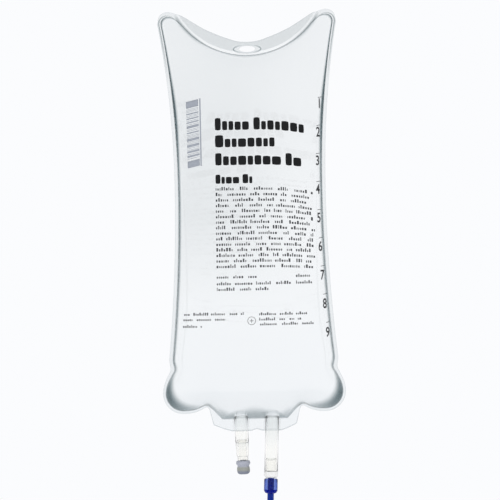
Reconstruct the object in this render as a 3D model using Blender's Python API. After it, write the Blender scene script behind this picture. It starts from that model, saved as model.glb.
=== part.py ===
"""Hanging fluid bag: two film sheets welded round a clear fluid, an injection port and an outlet port.

Units are metres. The origin is the middle of the hanger slot, +Z is up and the printed front faces -Y.
A "drop" is a distance below the hanger slot and a "rise" is one above it.
"""

import math

import bmesh
import bpy
import numpy as np
from mathutils import Vector

# Film sheets and their weld
FILM = 0.00036
WELD_GAP = 0.0003
SIDE_WELD = 0.0029
LOBE_WELD = 0.0024
NOTCH_WELD = 0.0019

# Top flap and the two ears
FLAP_RISE = 0.0052
TOP_WELD_DROP = 0.0049
TOP_WELD_RADIUS = 0.0620
EAR_HALF_SPAN = 0.0671
EAR_RISE = 0.0289
EAR_SIDE_RISE = 0.0195
EAR_WELD = 0.0038
EAR_FOOT = 0.76  # share of the ear's half span where the flap ends and the ear begins
EAR_FOOT_CLIMB = 0.91  # share of the way up to the ear's tip there
EAR_TIP = 0.885  # share of the ear's half span where the tip is
TOP_WELD_REACH = 0.73  # share of the ear's half span where the weld's arc ends

# Side edge from the ears through the waist to the hips
WAIST_HALF = 0.0566
WAIST_DROP = 0.1040
HIP_HALF = 0.0633
HIP_DROP = 0.2310

# Pinch and rounded lobe at each lower corner
PINCH_HALF = 0.0623
PINCH_DEPTH = 0.0015
PINCH_DROP = 0.2396
LOBE_HALF_SPAN = 0.0686
LOBE_DROP = 0.2574
LOBE_RADIUS = 0.0153

# Notch beside the port tab, and the tab itself
NOTCH_HALF = 0.0362
NOTCH_DROP = 0.2676
TAB_TOP_HALF = 0.0345
TAB_HALF = 0.0312
TAB_SIDE_DROP = 0.2815
TAB_DROP = 0.2864
TAB_ARCH = 0.0012
POUCH_HALF = 0.0243
POUCH_DROP = 0.2769

# How far the filled bag stands from the middle plane, along its centre line
TOP_DEPTH = 0.0072
SHOULDER_DEPTH = 0.0168
WAIST_DEPTH = 0.0238
BELLY_DEPTH = 0.0290
FOOT_DEPTH = 0.0242
SPINE_TOP_DROP = 0.0230
BELLY_DROP = 0.2050
SPINE_FOOT_DROP = 0.2570

# Hanger slot and its embossed eyelet
SLOT_WIDTH = 0.0118
SLOT_HEIGHT = 0.0046
EYELET_WIDTH = 0.0215
EYELET_HEIGHT = 0.0069
EYELET_BEAD = 0.0009
EYELET_PROUD = 0.0004

# Clearances
FIT_GAP = 0.0003
SLEEVE_GAP = 0.0004
FILL_GAP = 0.0005

# Where the two port axes cross the tab, and how far each leans
PORT_DROP = 0.2820
INJECTION_X = -0.0104
INJECTION_LEAN = 1.5
OUTLET_X = 0.0127
OUTLET_LEAN = -2.5

# Injection port, along its own axis from the place where it crosses the tab
INJECTION_TUBE_DIAMETER = 0.0100
INJECTION_TUBE_WALL = 0.0012
INJECTION_TUBE_TOP = 0.0070
INJECTION_TUBE_LENGTH = 0.0200
SPIGOT_LENGTH = 0.0022
SPIGOT_WALL = 0.0008
SLEEVE_DIAMETER = 0.0099
SLEEVE_TAPER = 0.0004
SLEEVE_LENGTH = 0.0100
SLEEVE_WALL = 0.0013
NECK_DIAMETER = 0.0078
NECK_LENGTH = 0.0030
CAP_COLLAR_DIAMETER = 0.0106
CAP_COLLAR_HEIGHT = 0.0033
CAP_WAIST_DIAMETER = 0.0086
CAP_DIAMETER = 0.0096
CAP_HEIGHT = 0.0105
CAP_FACE_DIAMETER = 0.0072
CAP_GRIP = 0.0040

# Outlet port, along its own axis
OUTLET_TUBE_DIAMETER = 0.0100
OUTLET_TUBE_WALL = 0.0009
OUTLET_TUBE_TOP = 0.0066
OUTLET_TUBE_LENGTH = 0.0412
MEMBRANE_TUBE_LENGTH = 0.0136
MEMBRANE_TUBE_WALL = 0.00065
MEMBRANE_THICKNESS = 0.0006
MEMBRANE_RECESS = 0.0010
FLANGE_DIAMETER = 0.0105
FLANGE_HEIGHT = 0.0037
LIP_DIAMETER = 0.0076
LIP_HEIGHT = 0.0013

# Pull-off protector
PLUG_LENGTH = 0.0052
PLUG_NECK_DIAMETER = 0.0046
SKIRT_GAP = 0.0007
SKIRT_DIAMETER = 0.0102
SKIRT_HEIGHT = 0.0112
SKIRT_WALL = 0.0012
SKIRT_FLOOR = 0.0030
STEM_DIAMETER = 0.0049
STEM_LENGTH = 0.0180

# Fineness of the mesh, and helpers' places
PORT_SIDES = 32
CAP_SIDES = 24
SLOT_SIDES = 28
RING_STEPS = (0.035, 0.13, 0.32, 0.62, 1.0)
SLEEVE_ANGLES = (67.5, 45.0, 22.5)
SLEEVE_FOOT = ((1.30, 0.0), (1.08, 0.13))
RIM_INSET = 0.0009
TUBE_ROOM_FOOT = -0.0120
TUBE_COLUMN_RISE = 0.0040


def clear_scene():
    """Remove every object of the opening scene."""
    for obj in list(bpy.data.objects):
        bpy.data.objects.remove(obj, do_unlink=True)


def material(name, colour, roughness, transmission=0.0, ior=1.45, coat=0.0):
    """A Principled material, clear where transmission is near 1."""
    made = bpy.data.materials.new(name)
    made.use_nodes = True
    shader = made.node_tree.nodes["Principled BSDF"]
    shader.inputs["Base Color"].default_value = (*colour, 1.0)
    shader.inputs["Roughness"].default_value = roughness
    shader.inputs["Metallic"].default_value = 0.0
    shader.inputs["Transmission Weight"].default_value = transmission
    shader.inputs["IOR"].default_value = ior
    shader.inputs["Coat Weight"].default_value = coat
    made.diffuse_color = (*colour, 1.0)
    return made


def add_object(name, mesh, finish, parent=None):
    """Link a mesh as a named object with its material, under an optional parent."""
    obj = bpy.data.objects.new(name, mesh)
    bpy.context.scene.collection.objects.link(obj)
    obj.data.materials.append(finish)
    obj.parent = parent
    return obj


def mesh_from(bm, name, smooth_angle=35.0):
    """Turn a bmesh into a smooth-shaded mesh with sharp edges kept."""
    bmesh.ops.recalc_face_normals(bm, faces=bm.faces)
    mesh = bpy.data.meshes.new(name)
    bm.to_mesh(mesh)
    bm.free()
    mesh.shade_smooth()
    mesh.set_sharp_from_angle(angle=math.radians(smooth_angle))
    return mesh


def cut(obj, cutter, operation="DIFFERENCE"):
    """Join or cut obj with a hidden helper object."""
    cutter.hide_render = True
    cutter.display_type = "WIRE"
    modifier = obj.modifiers.new(f"{operation.lower()} {cutter.name}", "BOOLEAN")
    modifier.operation = operation
    modifier.solver = "EXACT"
    modifier.object = cutter


# Plane curves, as lists of (x, z)


def even_points(dense, count):
    """count + 1 points at even distances along a densely sampled curve."""
    dense = np.array(dense)
    lengths = np.concatenate([[0.0], np.cumsum(np.linalg.norm(np.diff(dense, axis=0), axis=1))])
    places = np.linspace(0.0, lengths[-1], count + 1)
    return np.column_stack([np.interp(places, lengths, dense[:, axis]) for axis in range(2)])


def curve_through(points, count):
    """count + 1 points along a smooth curve through a few given ones (a Catmull-Rom curve)."""
    points = np.array(points, float)
    ends = np.vstack([2 * points[0] - points[1], points, 2 * points[-1] - points[-2]])
    dense = []
    for before, start, end, after in zip(ends, ends[1:], ends[2:], ends[3:]):
        for step in np.linspace(0.0, 1.0, 12, endpoint=False):
            dense.append(
                0.5
                * (
                    2 * start
                    + (end - before) * step
                    + (2 * before - 5 * start + 4 * end - after) * step**2
                    + (3 * start - 3 * end + after - before) * step**3
                )
            )
    dense.append(points[-1])
    return even_points(dense, count)


def side_half_width(drop):
    """Half the film's width at a height between the ears and the hips."""
    if drop < WAIST_DROP:
        share = (WAIST_DROP - drop) / (WAIST_DROP + EAR_SIDE_RISE)
        return WAIST_HALF + (EAR_HALF_SPAN - WAIST_HALF) * share**2.1
    share = (drop - WAIST_DROP) / (HIP_DROP - WAIST_DROP)
    return WAIST_HALF + (HIP_HALF - WAIST_HALF) * share**2.0


def side_edge(inset, count):
    """The side from under the ear down to the hip, a weld's width inside the film's edge."""
    drops = np.linspace(-EAR_SIDE_RISE, HIP_DROP, 40)
    return even_points([(side_half_width(drop) - inset, -drop) for drop in drops], count)


def top_weld(count):
    """The weld's arc from the centre line to the foot of the ear."""
    reach = TOP_WELD_REACH * EAR_HALF_SPAN
    xs = np.linspace(0.0, reach, 30)
    sag = TOP_WELD_RADIUS - np.sqrt(TOP_WELD_RADIUS**2 - xs**2)
    return even_points(np.column_stack([xs, sag - TOP_WELD_DROP]), count)


def lobe_corner(inset, count):
    """The quarter circle from the lobe's outermost point round to its lowest one."""
    radius = LOBE_RADIUS - inset
    centre_x = LOBE_HALF_SPAN - LOBE_RADIUS
    turns = np.linspace(0.0, math.pi / 2, 20)
    return even_points(
        [(centre_x + radius * math.cos(turn), -LOBE_DROP - radius * math.sin(turn)) for turn in turns], count
    )


def lobe_shoulder(pinch_x, outer_x, count):
    """The curve that swells from the pinch out to the lobe."""
    shares = np.linspace(0.0, 1.0, 16)
    xs = pinch_x + (outer_x - pinch_x) * np.sin(shares * math.pi / 2)
    zs = -PINCH_DROP - (LOBE_DROP - PINCH_DROP) * shares
    return even_points(np.column_stack([xs, zs]), count)


def lobe_floor(inset, notch_z, count):
    """The curve from the lobe's lowest point up to the notch."""
    start_x = LOBE_HALF_SPAN - LOBE_RADIUS
    start_z = -LOBE_DROP - LOBE_RADIUS + inset
    width = NOTCH_HALF - start_x
    climb = notch_z - start_z
    shares = np.linspace(0.0, 1.0, 16)
    return even_points([(start_x + width * share, start_z + climb * share**2.4) for share in shares], count)


def flap_edge(count):
    """The film's free edge from the centre line up to the ear."""
    span = EAR_HALF_SPAN
    rise = EAR_RISE - FLAP_RISE
    return curve_through(
        [
            (0.0, FLAP_RISE),
            (0.15 * span, FLAP_RISE + 0.06 * rise),
            (0.45 * span, FLAP_RISE + 0.40 * rise),
            (0.70 * span, FLAP_RISE + 0.83 * rise),
            (EAR_FOOT * span, FLAP_RISE + EAR_FOOT_CLIMB * rise),
        ],
        count,
    )


def ear_edge(count):
    """The film's edge over the ear's tip and down to its side."""
    return curve_through(
        [
            (EAR_FOOT * EAR_HALF_SPAN, FLAP_RISE + EAR_FOOT_CLIMB * (EAR_RISE - FLAP_RISE)),
            (EAR_TIP * EAR_HALF_SPAN, EAR_RISE),
            (0.972 * EAR_HALF_SPAN, EAR_RISE - 0.28 * (EAR_RISE - EAR_SIDE_RISE)),
            (EAR_HALF_SPAN, EAR_SIDE_RISE),
        ],
        count,
    )


def ear_weld(start, count):
    """The weld's arch inside the ear."""
    side_x = EAR_HALF_SPAN - SIDE_WELD
    tip_z = EAR_RISE - EAR_WELD
    width = side_x - start[0]
    return curve_through(
        [
            tuple(start),
            (start[0] + 0.46 * width, 0.12 * start[1] + 0.88 * tip_z),
            (start[0] + 0.80 * width, 0.07 * EAR_SIDE_RISE + 0.93 * tip_z),
            (start[0] + 0.97 * width, 0.5 * (tip_z + EAR_SIDE_RISE)),
            (side_x, EAR_SIDE_RISE),
        ],
        count,
    )


def hip_edge(hip_x, pinch_x, count):
    """The short curve from the hip in to the pinch."""
    bend_z = -HIP_DROP - 0.4 * (PINCH_DROP - HIP_DROP)
    bend_x = hip_x + 0.1 * (pinch_x - hip_x)
    return curve_through([(hip_x, -HIP_DROP), (bend_x, bend_z), (pinch_x, -PINCH_DROP)], count)


def tab_side(count):
    """The tab's free side, from the notch down to its corner."""
    top_z = -NOTCH_DROP - 0.5 * (NOTCH_HALF - TAB_TOP_HALF)
    points = [(NOTCH_HALF, -NOTCH_DROP), (TAB_TOP_HALF, top_z), (TAB_HALF, -TAB_SIDE_DROP)]
    return curve_through(points, count)


def pouch_side(notch_z, count):
    """The weld's slope from the notch down to the flat floor above the ports."""
    bend_x = 0.55 * NOTCH_HALF + 0.45 * POUCH_HALF
    bend_z = 0.62 * notch_z - 0.38 * POUCH_DROP
    return curve_through([(NOTCH_HALF, notch_z), (bend_x, bend_z), (POUCH_HALF, -POUCH_DROP)], count)


def half_outline():
    """The right half of the film's edge and of the weld's inner edge, from the flap to the tab's corner.

    Each step pairs a film edge with a weld edge of as many points. Its two shares say which stretch of
    the centre line the inside of the bag runs in to from there, and its last number eases between them.
    """
    weld_top = top_weld(9)
    pinch_weld = PINCH_HALF - SIDE_WELD - PINCH_DEPTH
    shoulder_weld = lobe_shoulder(pinch_weld, LOBE_HALF_SPAN - LOBE_WELD, 4)
    notch_z = NOTCH_WELD - NOTCH_DROP
    steps = [
        (flap_edge(9), weld_top, 0.0, 0.10, 1.0),
        (ear_edge(5), ear_weld(weld_top[-1], 5), 0.10, 0.13, 1.0),
        (side_edge(0.0, 10), side_edge(SIDE_WELD, 10), 0.13, 0.85, 1.3),
        (hip_edge(HIP_HALF, PINCH_HALF, 2), hip_edge(HIP_HALF - SIDE_WELD, pinch_weld, 2), 0.85, 0.87, 1.0),
        (lobe_shoulder(PINCH_HALF, LOBE_HALF_SPAN, 4), shoulder_weld, 0.87, 0.91, 1.0),
        (lobe_corner(0.0, 5), lobe_corner(LOBE_WELD, 5), 0.91, 0.945, 1.0),
        (lobe_floor(0.0, -NOTCH_DROP, 3), lobe_floor(LOBE_WELD, notch_z, 3), 0.945, 0.965, 1.0),
        (tab_side(3), pouch_side(notch_z, 3), 0.965, 1.0, 1.0),
    ]
    edge, weld, inward = [], [], []
    for film_points, weld_points, inward_start, inward_end, ease in steps:
        shares = inward_start + (inward_end - inward_start) * np.linspace(0.0, 1.0, len(film_points)) ** ease
        for film_point, weld_point, share in list(zip(film_points, weld_points, shares))[:-1]:
            edge.append(tuple(film_point))
            weld.append(tuple(weld_point))
            inward.append(share)
    edge.append((TAB_HALF, -TAB_SIDE_DROP))
    weld.append((POUCH_HALF, -POUCH_DROP))
    inward.append(1.0)
    return edge, weld, inward


def port_axis_x(port_x, lean, drop):
    """Where a leaning port's axis is at a given drop."""
    return port_x + (drop - PORT_DROP) * math.tan(math.radians(lean))


def sleeve_columns(radius):
    """(offset, height) pairs of the film over a port tube, right to left."""
    right = [(share * radius, height * radius) for share, height in SLEEVE_FOOT]
    for angle in SLEEVE_ANGLES:
        right.append((radius * math.sin(math.radians(angle)), radius * math.cos(math.radians(angle))))
    return right + [(0.0, radius)] + [(-offset, height) for offset, height in reversed(right)]


def tab_columns():
    """(edge point, weld point, height) of each column across the tab, from its right corner to its left.

    The columns over a port follow its leaning tube.
    """
    columns = []
    ports = (
        (OUTLET_X, OUTLET_LEAN, OUTLET_TUBE_DIAMETER),
        (INJECTION_X, INJECTION_LEAN, INJECTION_TUBE_DIAMETER),
    )
    for port_x, lean, diameter in ports:
        weld_x = port_axis_x(port_x, lean, POUCH_DROP)
        edge_x = port_axis_x(port_x, lean, TAB_DROP)
        for offset, height in sleeve_columns(diameter / 2 + SLEEVE_GAP):
            columns.append(((edge_x + offset, -TAB_DROP), (weld_x + offset, -POUCH_DROP), height))
    half = len(columns) // 2
    right, left = columns[half - 1], columns[half]
    middle_edge = 0.5 * (right[0][0] + left[0][0])
    middle_weld = 0.5 * (right[1][0] + left[1][0])
    arch = ((middle_edge, TAB_ARCH - TAB_DROP), (middle_weld, -POUCH_DROP), 0.0)
    corners = []
    for side, neighbour in ((1, columns[0]), (-1, columns[-1])):
        edge_x = 0.45 * side * TAB_HALF + 0.55 * neighbour[0][0]
        weld_x = 0.5 * (side * POUCH_HALF + neighbour[1][0])
        corners.append(((edge_x, -0.62 * TAB_DROP - 0.38 * TAB_SIDE_DROP), (weld_x, -POUCH_DROP), 0.0))
    return [corners[0], *columns[:half], arch, *columns[half:], corners[1]]


def outline():
    """The whole outline, clockwise from the flap: edge, weld, weld heights and inward shares."""
    edge, weld, inward = half_outline()
    across = tab_columns()
    mirrored = slice(None, 0, -1)
    edges = edge + [column[0] for column in across] + [(-x, z) for x, z in edge[mirrored]]
    welds = weld + [column[1] for column in across] + [(-x, z) for x, z in weld[mirrored]]
    heights = [0.0] * len(edge) + [column[2] for column in across] + [0.0] * (len(edge) - 1)
    inwards = inward + [1.0] * len(across) + inward[mirrored]
    return edges, welds, heights, inwards


def depth_along(share):
    """Depth of the filled bag and the two shape powers of its section, at a share of the centre line."""
    length = SPINE_FOOT_DROP - SPINE_TOP_DROP
    stations = [0.0, 0.25, 0.52, (BELLY_DROP - SPINE_TOP_DROP) / length, 1.0]
    depths = [TOP_DEPTH, SHOULDER_DEPTH, WAIST_DEPTH, BELLY_DEPTH, FOOT_DEPTH]
    curve = curve_through(list(zip(stations, depths)), 60)
    depth = float(np.interp(share, curve[:, 0], curve[:, 1]))
    roundness = 2.0 + 0.7 * max(0.0, (share - 0.75) / 0.25)
    steepness = 0.5 + 0.35 * max(0.0, 1.0 - share / 0.3)
    return depth, roundness, steepness


def film_rings():
    """Rings of (x, depth, z) from the film's edge in to the centre line, on the front of the middle plane."""
    edges, welds, heights, inwards = outline()
    flat = WELD_GAP / 2
    rings = [
        [(x, max(flat, height), z) for (x, z), height in zip(edges, heights)],
        [(x, max(flat, height), z) for (x, z), height in zip(welds, heights)],
    ]
    for step in RING_STEPS:
        ring = []
        for (x, z), height, share in zip(welds, heights, inwards):
            spine_z = -(SPINE_TOP_DROP + share * (SPINE_FOOT_DROP - SPINE_TOP_DROP))
            depth, roundness, steepness = depth_along(share)
            swell = depth * (1.0 - (1.0 - step) ** roundness) ** steepness
            ring.append((x * (1.0 - step), max(flat, height, swell), z + (spine_z - z) * step))
        rings.append(ring)
    return rings


def sheet_bmesh(rings, side):
    """A bmesh of quads through the rings, closed along the centre line."""
    bm = bmesh.new()
    rows = [[bm.verts.new((x, side * depth, z)) for x, depth, z in ring] for ring in rings]
    for outer, inner in zip(rows, rows[1:]):
        for index in range(len(outer)):
            after = (index + 1) % len(outer)
            bm.faces.new((outer[index], outer[after], inner[after], inner[index]))
    bmesh.ops.remove_doubles(bm, verts=bm.verts, dist=1e-6)
    bmesh.ops.dissolve_degenerate(bm, edges=bm.edges, dist=1e-6)
    return bm


def face_outwards(bm, side):
    """Turn every face of an open sheet towards its own side of the middle plane."""
    bmesh.ops.recalc_face_normals(bm, faces=bm.faces)
    if sum(face.normal.y * face.calc_area() for face in bm.faces) * side < 0:
        bmesh.ops.reverse_faces(bm, faces=bm.faces)


def ellipse_ring(width, height, inset, count):
    """Points of an ellipse, moved inwards by inset along its normals."""
    points = []
    for index in range(count):
        turn = 2 * math.pi * index / count
        x = width / 2 * math.cos(turn)
        z = height / 2 * math.sin(turn)
        normal = Vector((x / width**2, 0.0, z / height**2)).normalized()
        points.append((x - normal.x * inset, z - normal.z * inset))
    return points


def band_bmesh(loops):
    """A closed band through rings of points, the last joined to the first."""
    bm = bmesh.new()
    rows = [[bm.verts.new(point) for point in loop] for loop in loops]
    for row, following in zip(rows, rows[1:] + rows[:1]):
        for index in range(len(row)):
            after = (index + 1) % len(row)
            bm.faces.new((row[index], row[after], following[after], following[index]))
    return bm


def eyelet_bead(side, finish):
    """The embossed bead round the hanger slot, sunk a little into the film that it belongs to."""
    face = WELD_GAP / 2 + FILM
    section = (
        (0.0, face - 0.6 * FILM),
        (0.0, face + 0.4 * EYELET_PROUD),
        (0.3 * EYELET_BEAD, face + EYELET_PROUD),
        (0.7 * EYELET_BEAD, face + EYELET_PROUD),
        (EYELET_BEAD, face + 0.4 * EYELET_PROUD),
        (EYELET_BEAD, face - 0.6 * FILM),
    )
    loops = []
    for inset, depth in section:
        ring = ellipse_ring(EYELET_WIDTH, EYELET_HEIGHT, inset, SLOT_SIDES)
        loops.append([(x, side * depth, z) for x, z in ring])
    name = "eyelet_bead_front" if side < 0 else "eyelet_bead_back"
    return add_object(name, mesh_from(band_bmesh(loops), name), finish)


def slot_cutter(finish):
    """The lens-shaped hanger slot, as a prism through both sheets."""
    reach = WELD_GAP / 2 + FILM + 2 * EYELET_PROUD
    bm = bmesh.new()
    rim = ellipse_ring(SLOT_WIDTH, SLOT_HEIGHT, 0.0, SLOT_SIDES)
    front = bm.faces.new([bm.verts.new((x, -reach, z)) for x, z in rim])
    moved = bmesh.ops.extrude_face_region(bm, geom=[front])["geom"]
    bmesh.ops.translate(
        bm, vec=(0.0, 2 * reach, 0.0), verts=[item for item in moved if isinstance(item, bmesh.types.BMVert)]
    )
    return add_object("slot_cutter", mesh_from(bm, "slot_cutter"), finish)


def build_film(name, side, finish, cutter):
    """One film sheet: the welded rim, the pillow, the port sleeves and the hanger slot."""
    bm = sheet_bmesh(film_rings(), side)
    face_outwards(bm, side)
    mesh = bpy.data.meshes.new(name)
    bm.to_mesh(mesh)
    bm.free()
    mesh.shade_smooth()
    sheet = add_object(name, mesh, finish)
    wall = sheet.modifiers.new("film thickness", "SOLIDIFY")
    wall.thickness = FILM
    wall.offset = 1.0
    wall.use_even_offset = True
    cut(sheet, eyelet_bead(side, finish), "UNION")
    cut(sheet, cutter)
    return sheet


# Fluid


def inset_ring(ring, inset):
    """A clockwise ring of (x, depth, z) moved inwards in its plane, on the middle plane."""
    moved = []
    for before, (x, _, z), after in zip(ring[-1:] + ring[:-1], ring, ring[1:] + ring[:1]):
        along = Vector((after[0] - before[0], after[2] - before[2])).normalized()
        moved.append((x + inset * along.y, 0.0, z - inset * along.x))
    return moved


def fluid_bmesh():
    """The closed pillow of fluid, a small gap inside the film."""
    rings = film_rings()[1:]
    rings[0] = inset_ring(rings[0], RIM_INSET)
    joined = bmesh.new()
    for side in (-1, 1):
        half = sheet_bmesh(rings, side)
        face_outwards(half, side)
        half.normal_update()
        moves = [(vert, vert.normal.copy()) for vert in half.verts if not vert.is_boundary]
        for vert, normal in moves:
            vert.co -= FILL_GAP * normal
        carrier = bpy.data.meshes.new("fluid_half")
        half.to_mesh(carrier)
        half.free()
        joined.from_mesh(carrier)
        bpy.data.meshes.remove(carrier)
    bmesh.ops.remove_doubles(joined, verts=joined.verts, dist=1e-6)
    return joined


def turned(profile, sides):
    """A body of revolution about Z from a list of (radius, z); a closed loop unless it ends on the axis."""
    bm = bmesh.new()
    verts = [bm.verts.new((radius, 0.0, z)) for radius, z in profile]
    edges = [bm.edges.new(pair) for pair in zip(verts, verts[1:])]
    if profile[0][0] > 0.0:
        edges.append(bm.edges.new((verts[-1], verts[0])))
    bmesh.ops.spin(
        bm, geom=verts + edges, cent=(0, 0, 0), axis=(0, 0, 1), angle=2 * math.pi, steps=sides, use_merge=True
    )
    bmesh.ops.remove_doubles(bm, verts=bm.verts, dist=1e-6)
    return bm


def turned_object(name, profile, sides, finish, parent):
    """A turned piece on a port's axis."""
    return add_object(name, mesh_from(turned(profile, sides), name), finish, parent)


def turned_rod(name, radius, top, foot, finish, parent):
    """A plain round rod on a port's axis."""
    profile = [(0.0, top), (radius, top), (radius, foot), (0.0, foot)]
    return turned_object(name, profile, PORT_SIDES, finish, parent)


def port_frame(name, x, lean):
    """An empty on a port's axis where it crosses the tab, with -Z pointing out of the bag."""
    frame = bpy.data.objects.new(name, None)
    bpy.context.scene.collection.objects.link(frame)
    frame.location = (x, 0.0, -PORT_DROP)
    frame.rotation_euler = (0.0, -math.radians(lean), 0.0)
    return frame


def build_fluid(finish, injection, outlet):
    """The fluid, cut clear of the tube ends and running down into their bores."""
    fluid = add_object("saline_fluid", mesh_from(fluid_bmesh(), "saline_fluid"), finish)
    tubes = (
        (
            injection,
            INJECTION_TUBE_DIAMETER / 2,
            INJECTION_TUBE_WALL,
            INJECTION_TUBE_TOP,
            INJECTION_TUBE_TOP - INJECTION_TUBE_LENGTH + SPIGOT_LENGTH + FILL_GAP,
        ),
        (
            outlet,
            OUTLET_TUBE_DIAMETER / 2,
            OUTLET_TUBE_WALL,
            OUTLET_TUBE_TOP,
            membrane_tube_top() + FILL_GAP,
        ),
    )
    for port, radius, wall, top, floor in tubes:
        clear_radius = radius + FILL_GAP
        room = turned_rod(f"{port.name}_room", clear_radius, top + FILL_GAP, TUBE_ROOM_FOOT, finish, port)
        cut(fluid, room)
        bore = radius - wall - FILL_GAP
        column = turned_rod(f"{port.name}_column", bore, top + TUBE_COLUMN_RISE, floor, finish, port)
        cut(fluid, column, "UNION")
    return fluid


# Injection port


def build_injection_port(port, clear_plastic, rubber):
    """Tube, rigid sleeve with its spigot and neck, and the rubber cap stretched over the neck."""
    radius = INJECTION_TUBE_DIAMETER / 2
    bore = radius - INJECTION_TUBE_WALL
    top = INJECTION_TUBE_TOP
    bottom = top - INJECTION_TUBE_LENGTH
    soften = 0.3 * INJECTION_TUBE_WALL
    tube = [
        (bore, top - soften),
        (bore + soften, top),
        (radius - soften, top),
        (radius, top - soften),
        (radius, bottom),
        (bore, bottom),
    ]
    turned_object("injection_port_tube", tube, PORT_SIDES, clear_plastic, port)

    spigot = bore - FIT_GAP
    shoulder = bottom - FIT_GAP
    foot = shoulder - SLEEVE_LENGTH
    end = foot - NECK_LENGTH
    body = SLEEVE_DIAMETER / 2
    neck = NECK_DIAMETER / 2
    hole = spigot - SPIGOT_WALL
    sleeve = [
        (hole, bottom + SPIGOT_LENGTH),
        (spigot, bottom + SPIGOT_LENGTH),
        (spigot, shoulder),
        (body, shoulder),
        (body - SLEEVE_TAPER, foot + 0.0004),
        (body - SLEEVE_TAPER - 0.0004, foot),
        (neck, foot),
        (neck, end),
        (neck - SLEEVE_WALL, end),
        (neck - SLEEVE_WALL, foot),
        (hole, shoulder),
    ]
    turned_object("injection_port_sleeve", sleeve, CAP_SIDES, clear_plastic, port)

    grip_top = end + 0.15 * CAP_GRIP
    cap_top = end
    inner = neck - SLEEVE_WALL - FIT_GAP
    collar = CAP_COLLAR_DIAMETER / 2
    waist = CAP_WAIST_DIAMETER / 2
    bulb = CAP_DIAMETER / 2
    base = cap_top - CAP_HEIGHT
    rim = cap_top - FIT_GAP
    cap = [
        (0.0, grip_top),
        (inner, grip_top),
        (inner, rim),
        (collar - 0.0006, rim),
        (collar, rim - 0.3 * CAP_COLLAR_HEIGHT),
        (collar, rim - 0.6 * CAP_COLLAR_HEIGHT),
        (waist, rim - CAP_COLLAR_HEIGHT),
        (waist, rim - CAP_COLLAR_HEIGHT - 0.0008),
        (bulb, rim - CAP_COLLAR_HEIGHT - 0.0022),
        (bulb, base + 0.0022),
        (0.93 * bulb, base + 0.0008),
        (CAP_FACE_DIAMETER / 2, base),
        (0.0, base),
    ]
    turned_object("injection_cap", cap, CAP_SIDES, rubber, port)


# Outlet port


def membrane_tube_top():
    """Height of the membrane tube's upper end on the outlet's axis."""
    return OUTLET_TUBE_TOP - OUTLET_TUBE_LENGTH - FIT_GAP + MEMBRANE_TUBE_LENGTH - FLANGE_HEIGHT


def build_outlet_port(port, clear_plastic, membrane_plastic):
    """Outlet tube and the membrane tube that is pushed up inside it."""
    radius = OUTLET_TUBE_DIAMETER / 2
    bore = radius - OUTLET_TUBE_WALL
    top = OUTLET_TUBE_TOP
    bottom = top - OUTLET_TUBE_LENGTH
    soften = 0.3 * OUTLET_TUBE_WALL
    tube = [
        (bore, top - soften),
        (bore + soften, top),
        (radius - soften, top),
        (radius, top - soften),
        (radius, bottom),
        (bore, bottom),
    ]
    turned_object("outlet_port_tube", tube, PORT_SIDES, clear_plastic, port)

    outside = bore - FIT_GAP
    inside = outside - MEMBRANE_TUBE_WALL
    upper = membrane_tube_top()
    membrane = upper - MEMBRANE_RECESS
    flange_top = bottom - FIT_GAP
    flange_foot = flange_top - FLANGE_HEIGHT
    lip = LIP_DIAMETER / 2
    profile = [
        (0.0, membrane),
        (inside, membrane),
        (inside, upper),
        (outside, upper),
        (outside, flange_top),
        (FLANGE_DIAMETER / 2, flange_top),
        (FLANGE_DIAMETER / 2, flange_foot),
        (lip, flange_foot - LIP_HEIGHT),
        (inside, flange_foot - LIP_HEIGHT),
        (inside, membrane - MEMBRANE_THICKNESS),
        (0.0, membrane - MEMBRANE_THICKNESS),
    ]
    turned_object("membrane_tube", profile, CAP_SIDES, membrane_plastic, port)
    return flange_foot - LIP_HEIGHT


def build_protector(port, mouth, blue):
    """The pull-off protector: plug, neck, core with its open skirt, and stem."""
    bore = OUTLET_TUBE_DIAMETER / 2 - OUTLET_TUBE_WALL - FIT_GAP - MEMBRANE_TUBE_WALL
    plug = bore - FIT_GAP
    neck = PLUG_NECK_DIAMETER / 2
    stem = STEM_DIAMETER / 2
    skirt = SKIRT_DIAMETER / 2
    rim = mouth - SKIRT_GAP
    floor = rim - SKIRT_HEIGHT + SKIRT_FLOOR
    base = rim - SKIRT_HEIGHT
    tip = base - STEM_LENGTH
    profile = [
        (0.0, mouth + PLUG_LENGTH),
        (0.8 * plug, mouth + PLUG_LENGTH),
        (plug, mouth + 0.85 * PLUG_LENGTH),
        (plug, mouth + 0.0008),
        (neck, mouth),
        (neck, rim),
        (stem, rim - 0.0006),
        (stem, floor),
        (skirt - SKIRT_WALL, floor),
        (skirt - SKIRT_WALL, rim),
        (skirt - 0.3 * SKIRT_WALL, rim),
        (skirt, rim - 0.6 * SKIRT_WALL),
        (skirt, base + 0.0022),
        (0.82 * skirt, base + 0.0006),
        (stem, base),
        (stem, tip + stem),
        (0.87 * stem, tip + 0.5 * stem),
        (0.5 * stem, tip + 0.13 * stem),
        (0.0, tip),
    ]
    turned_object("outlet_protector", profile, CAP_SIDES, blue, port)


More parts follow.
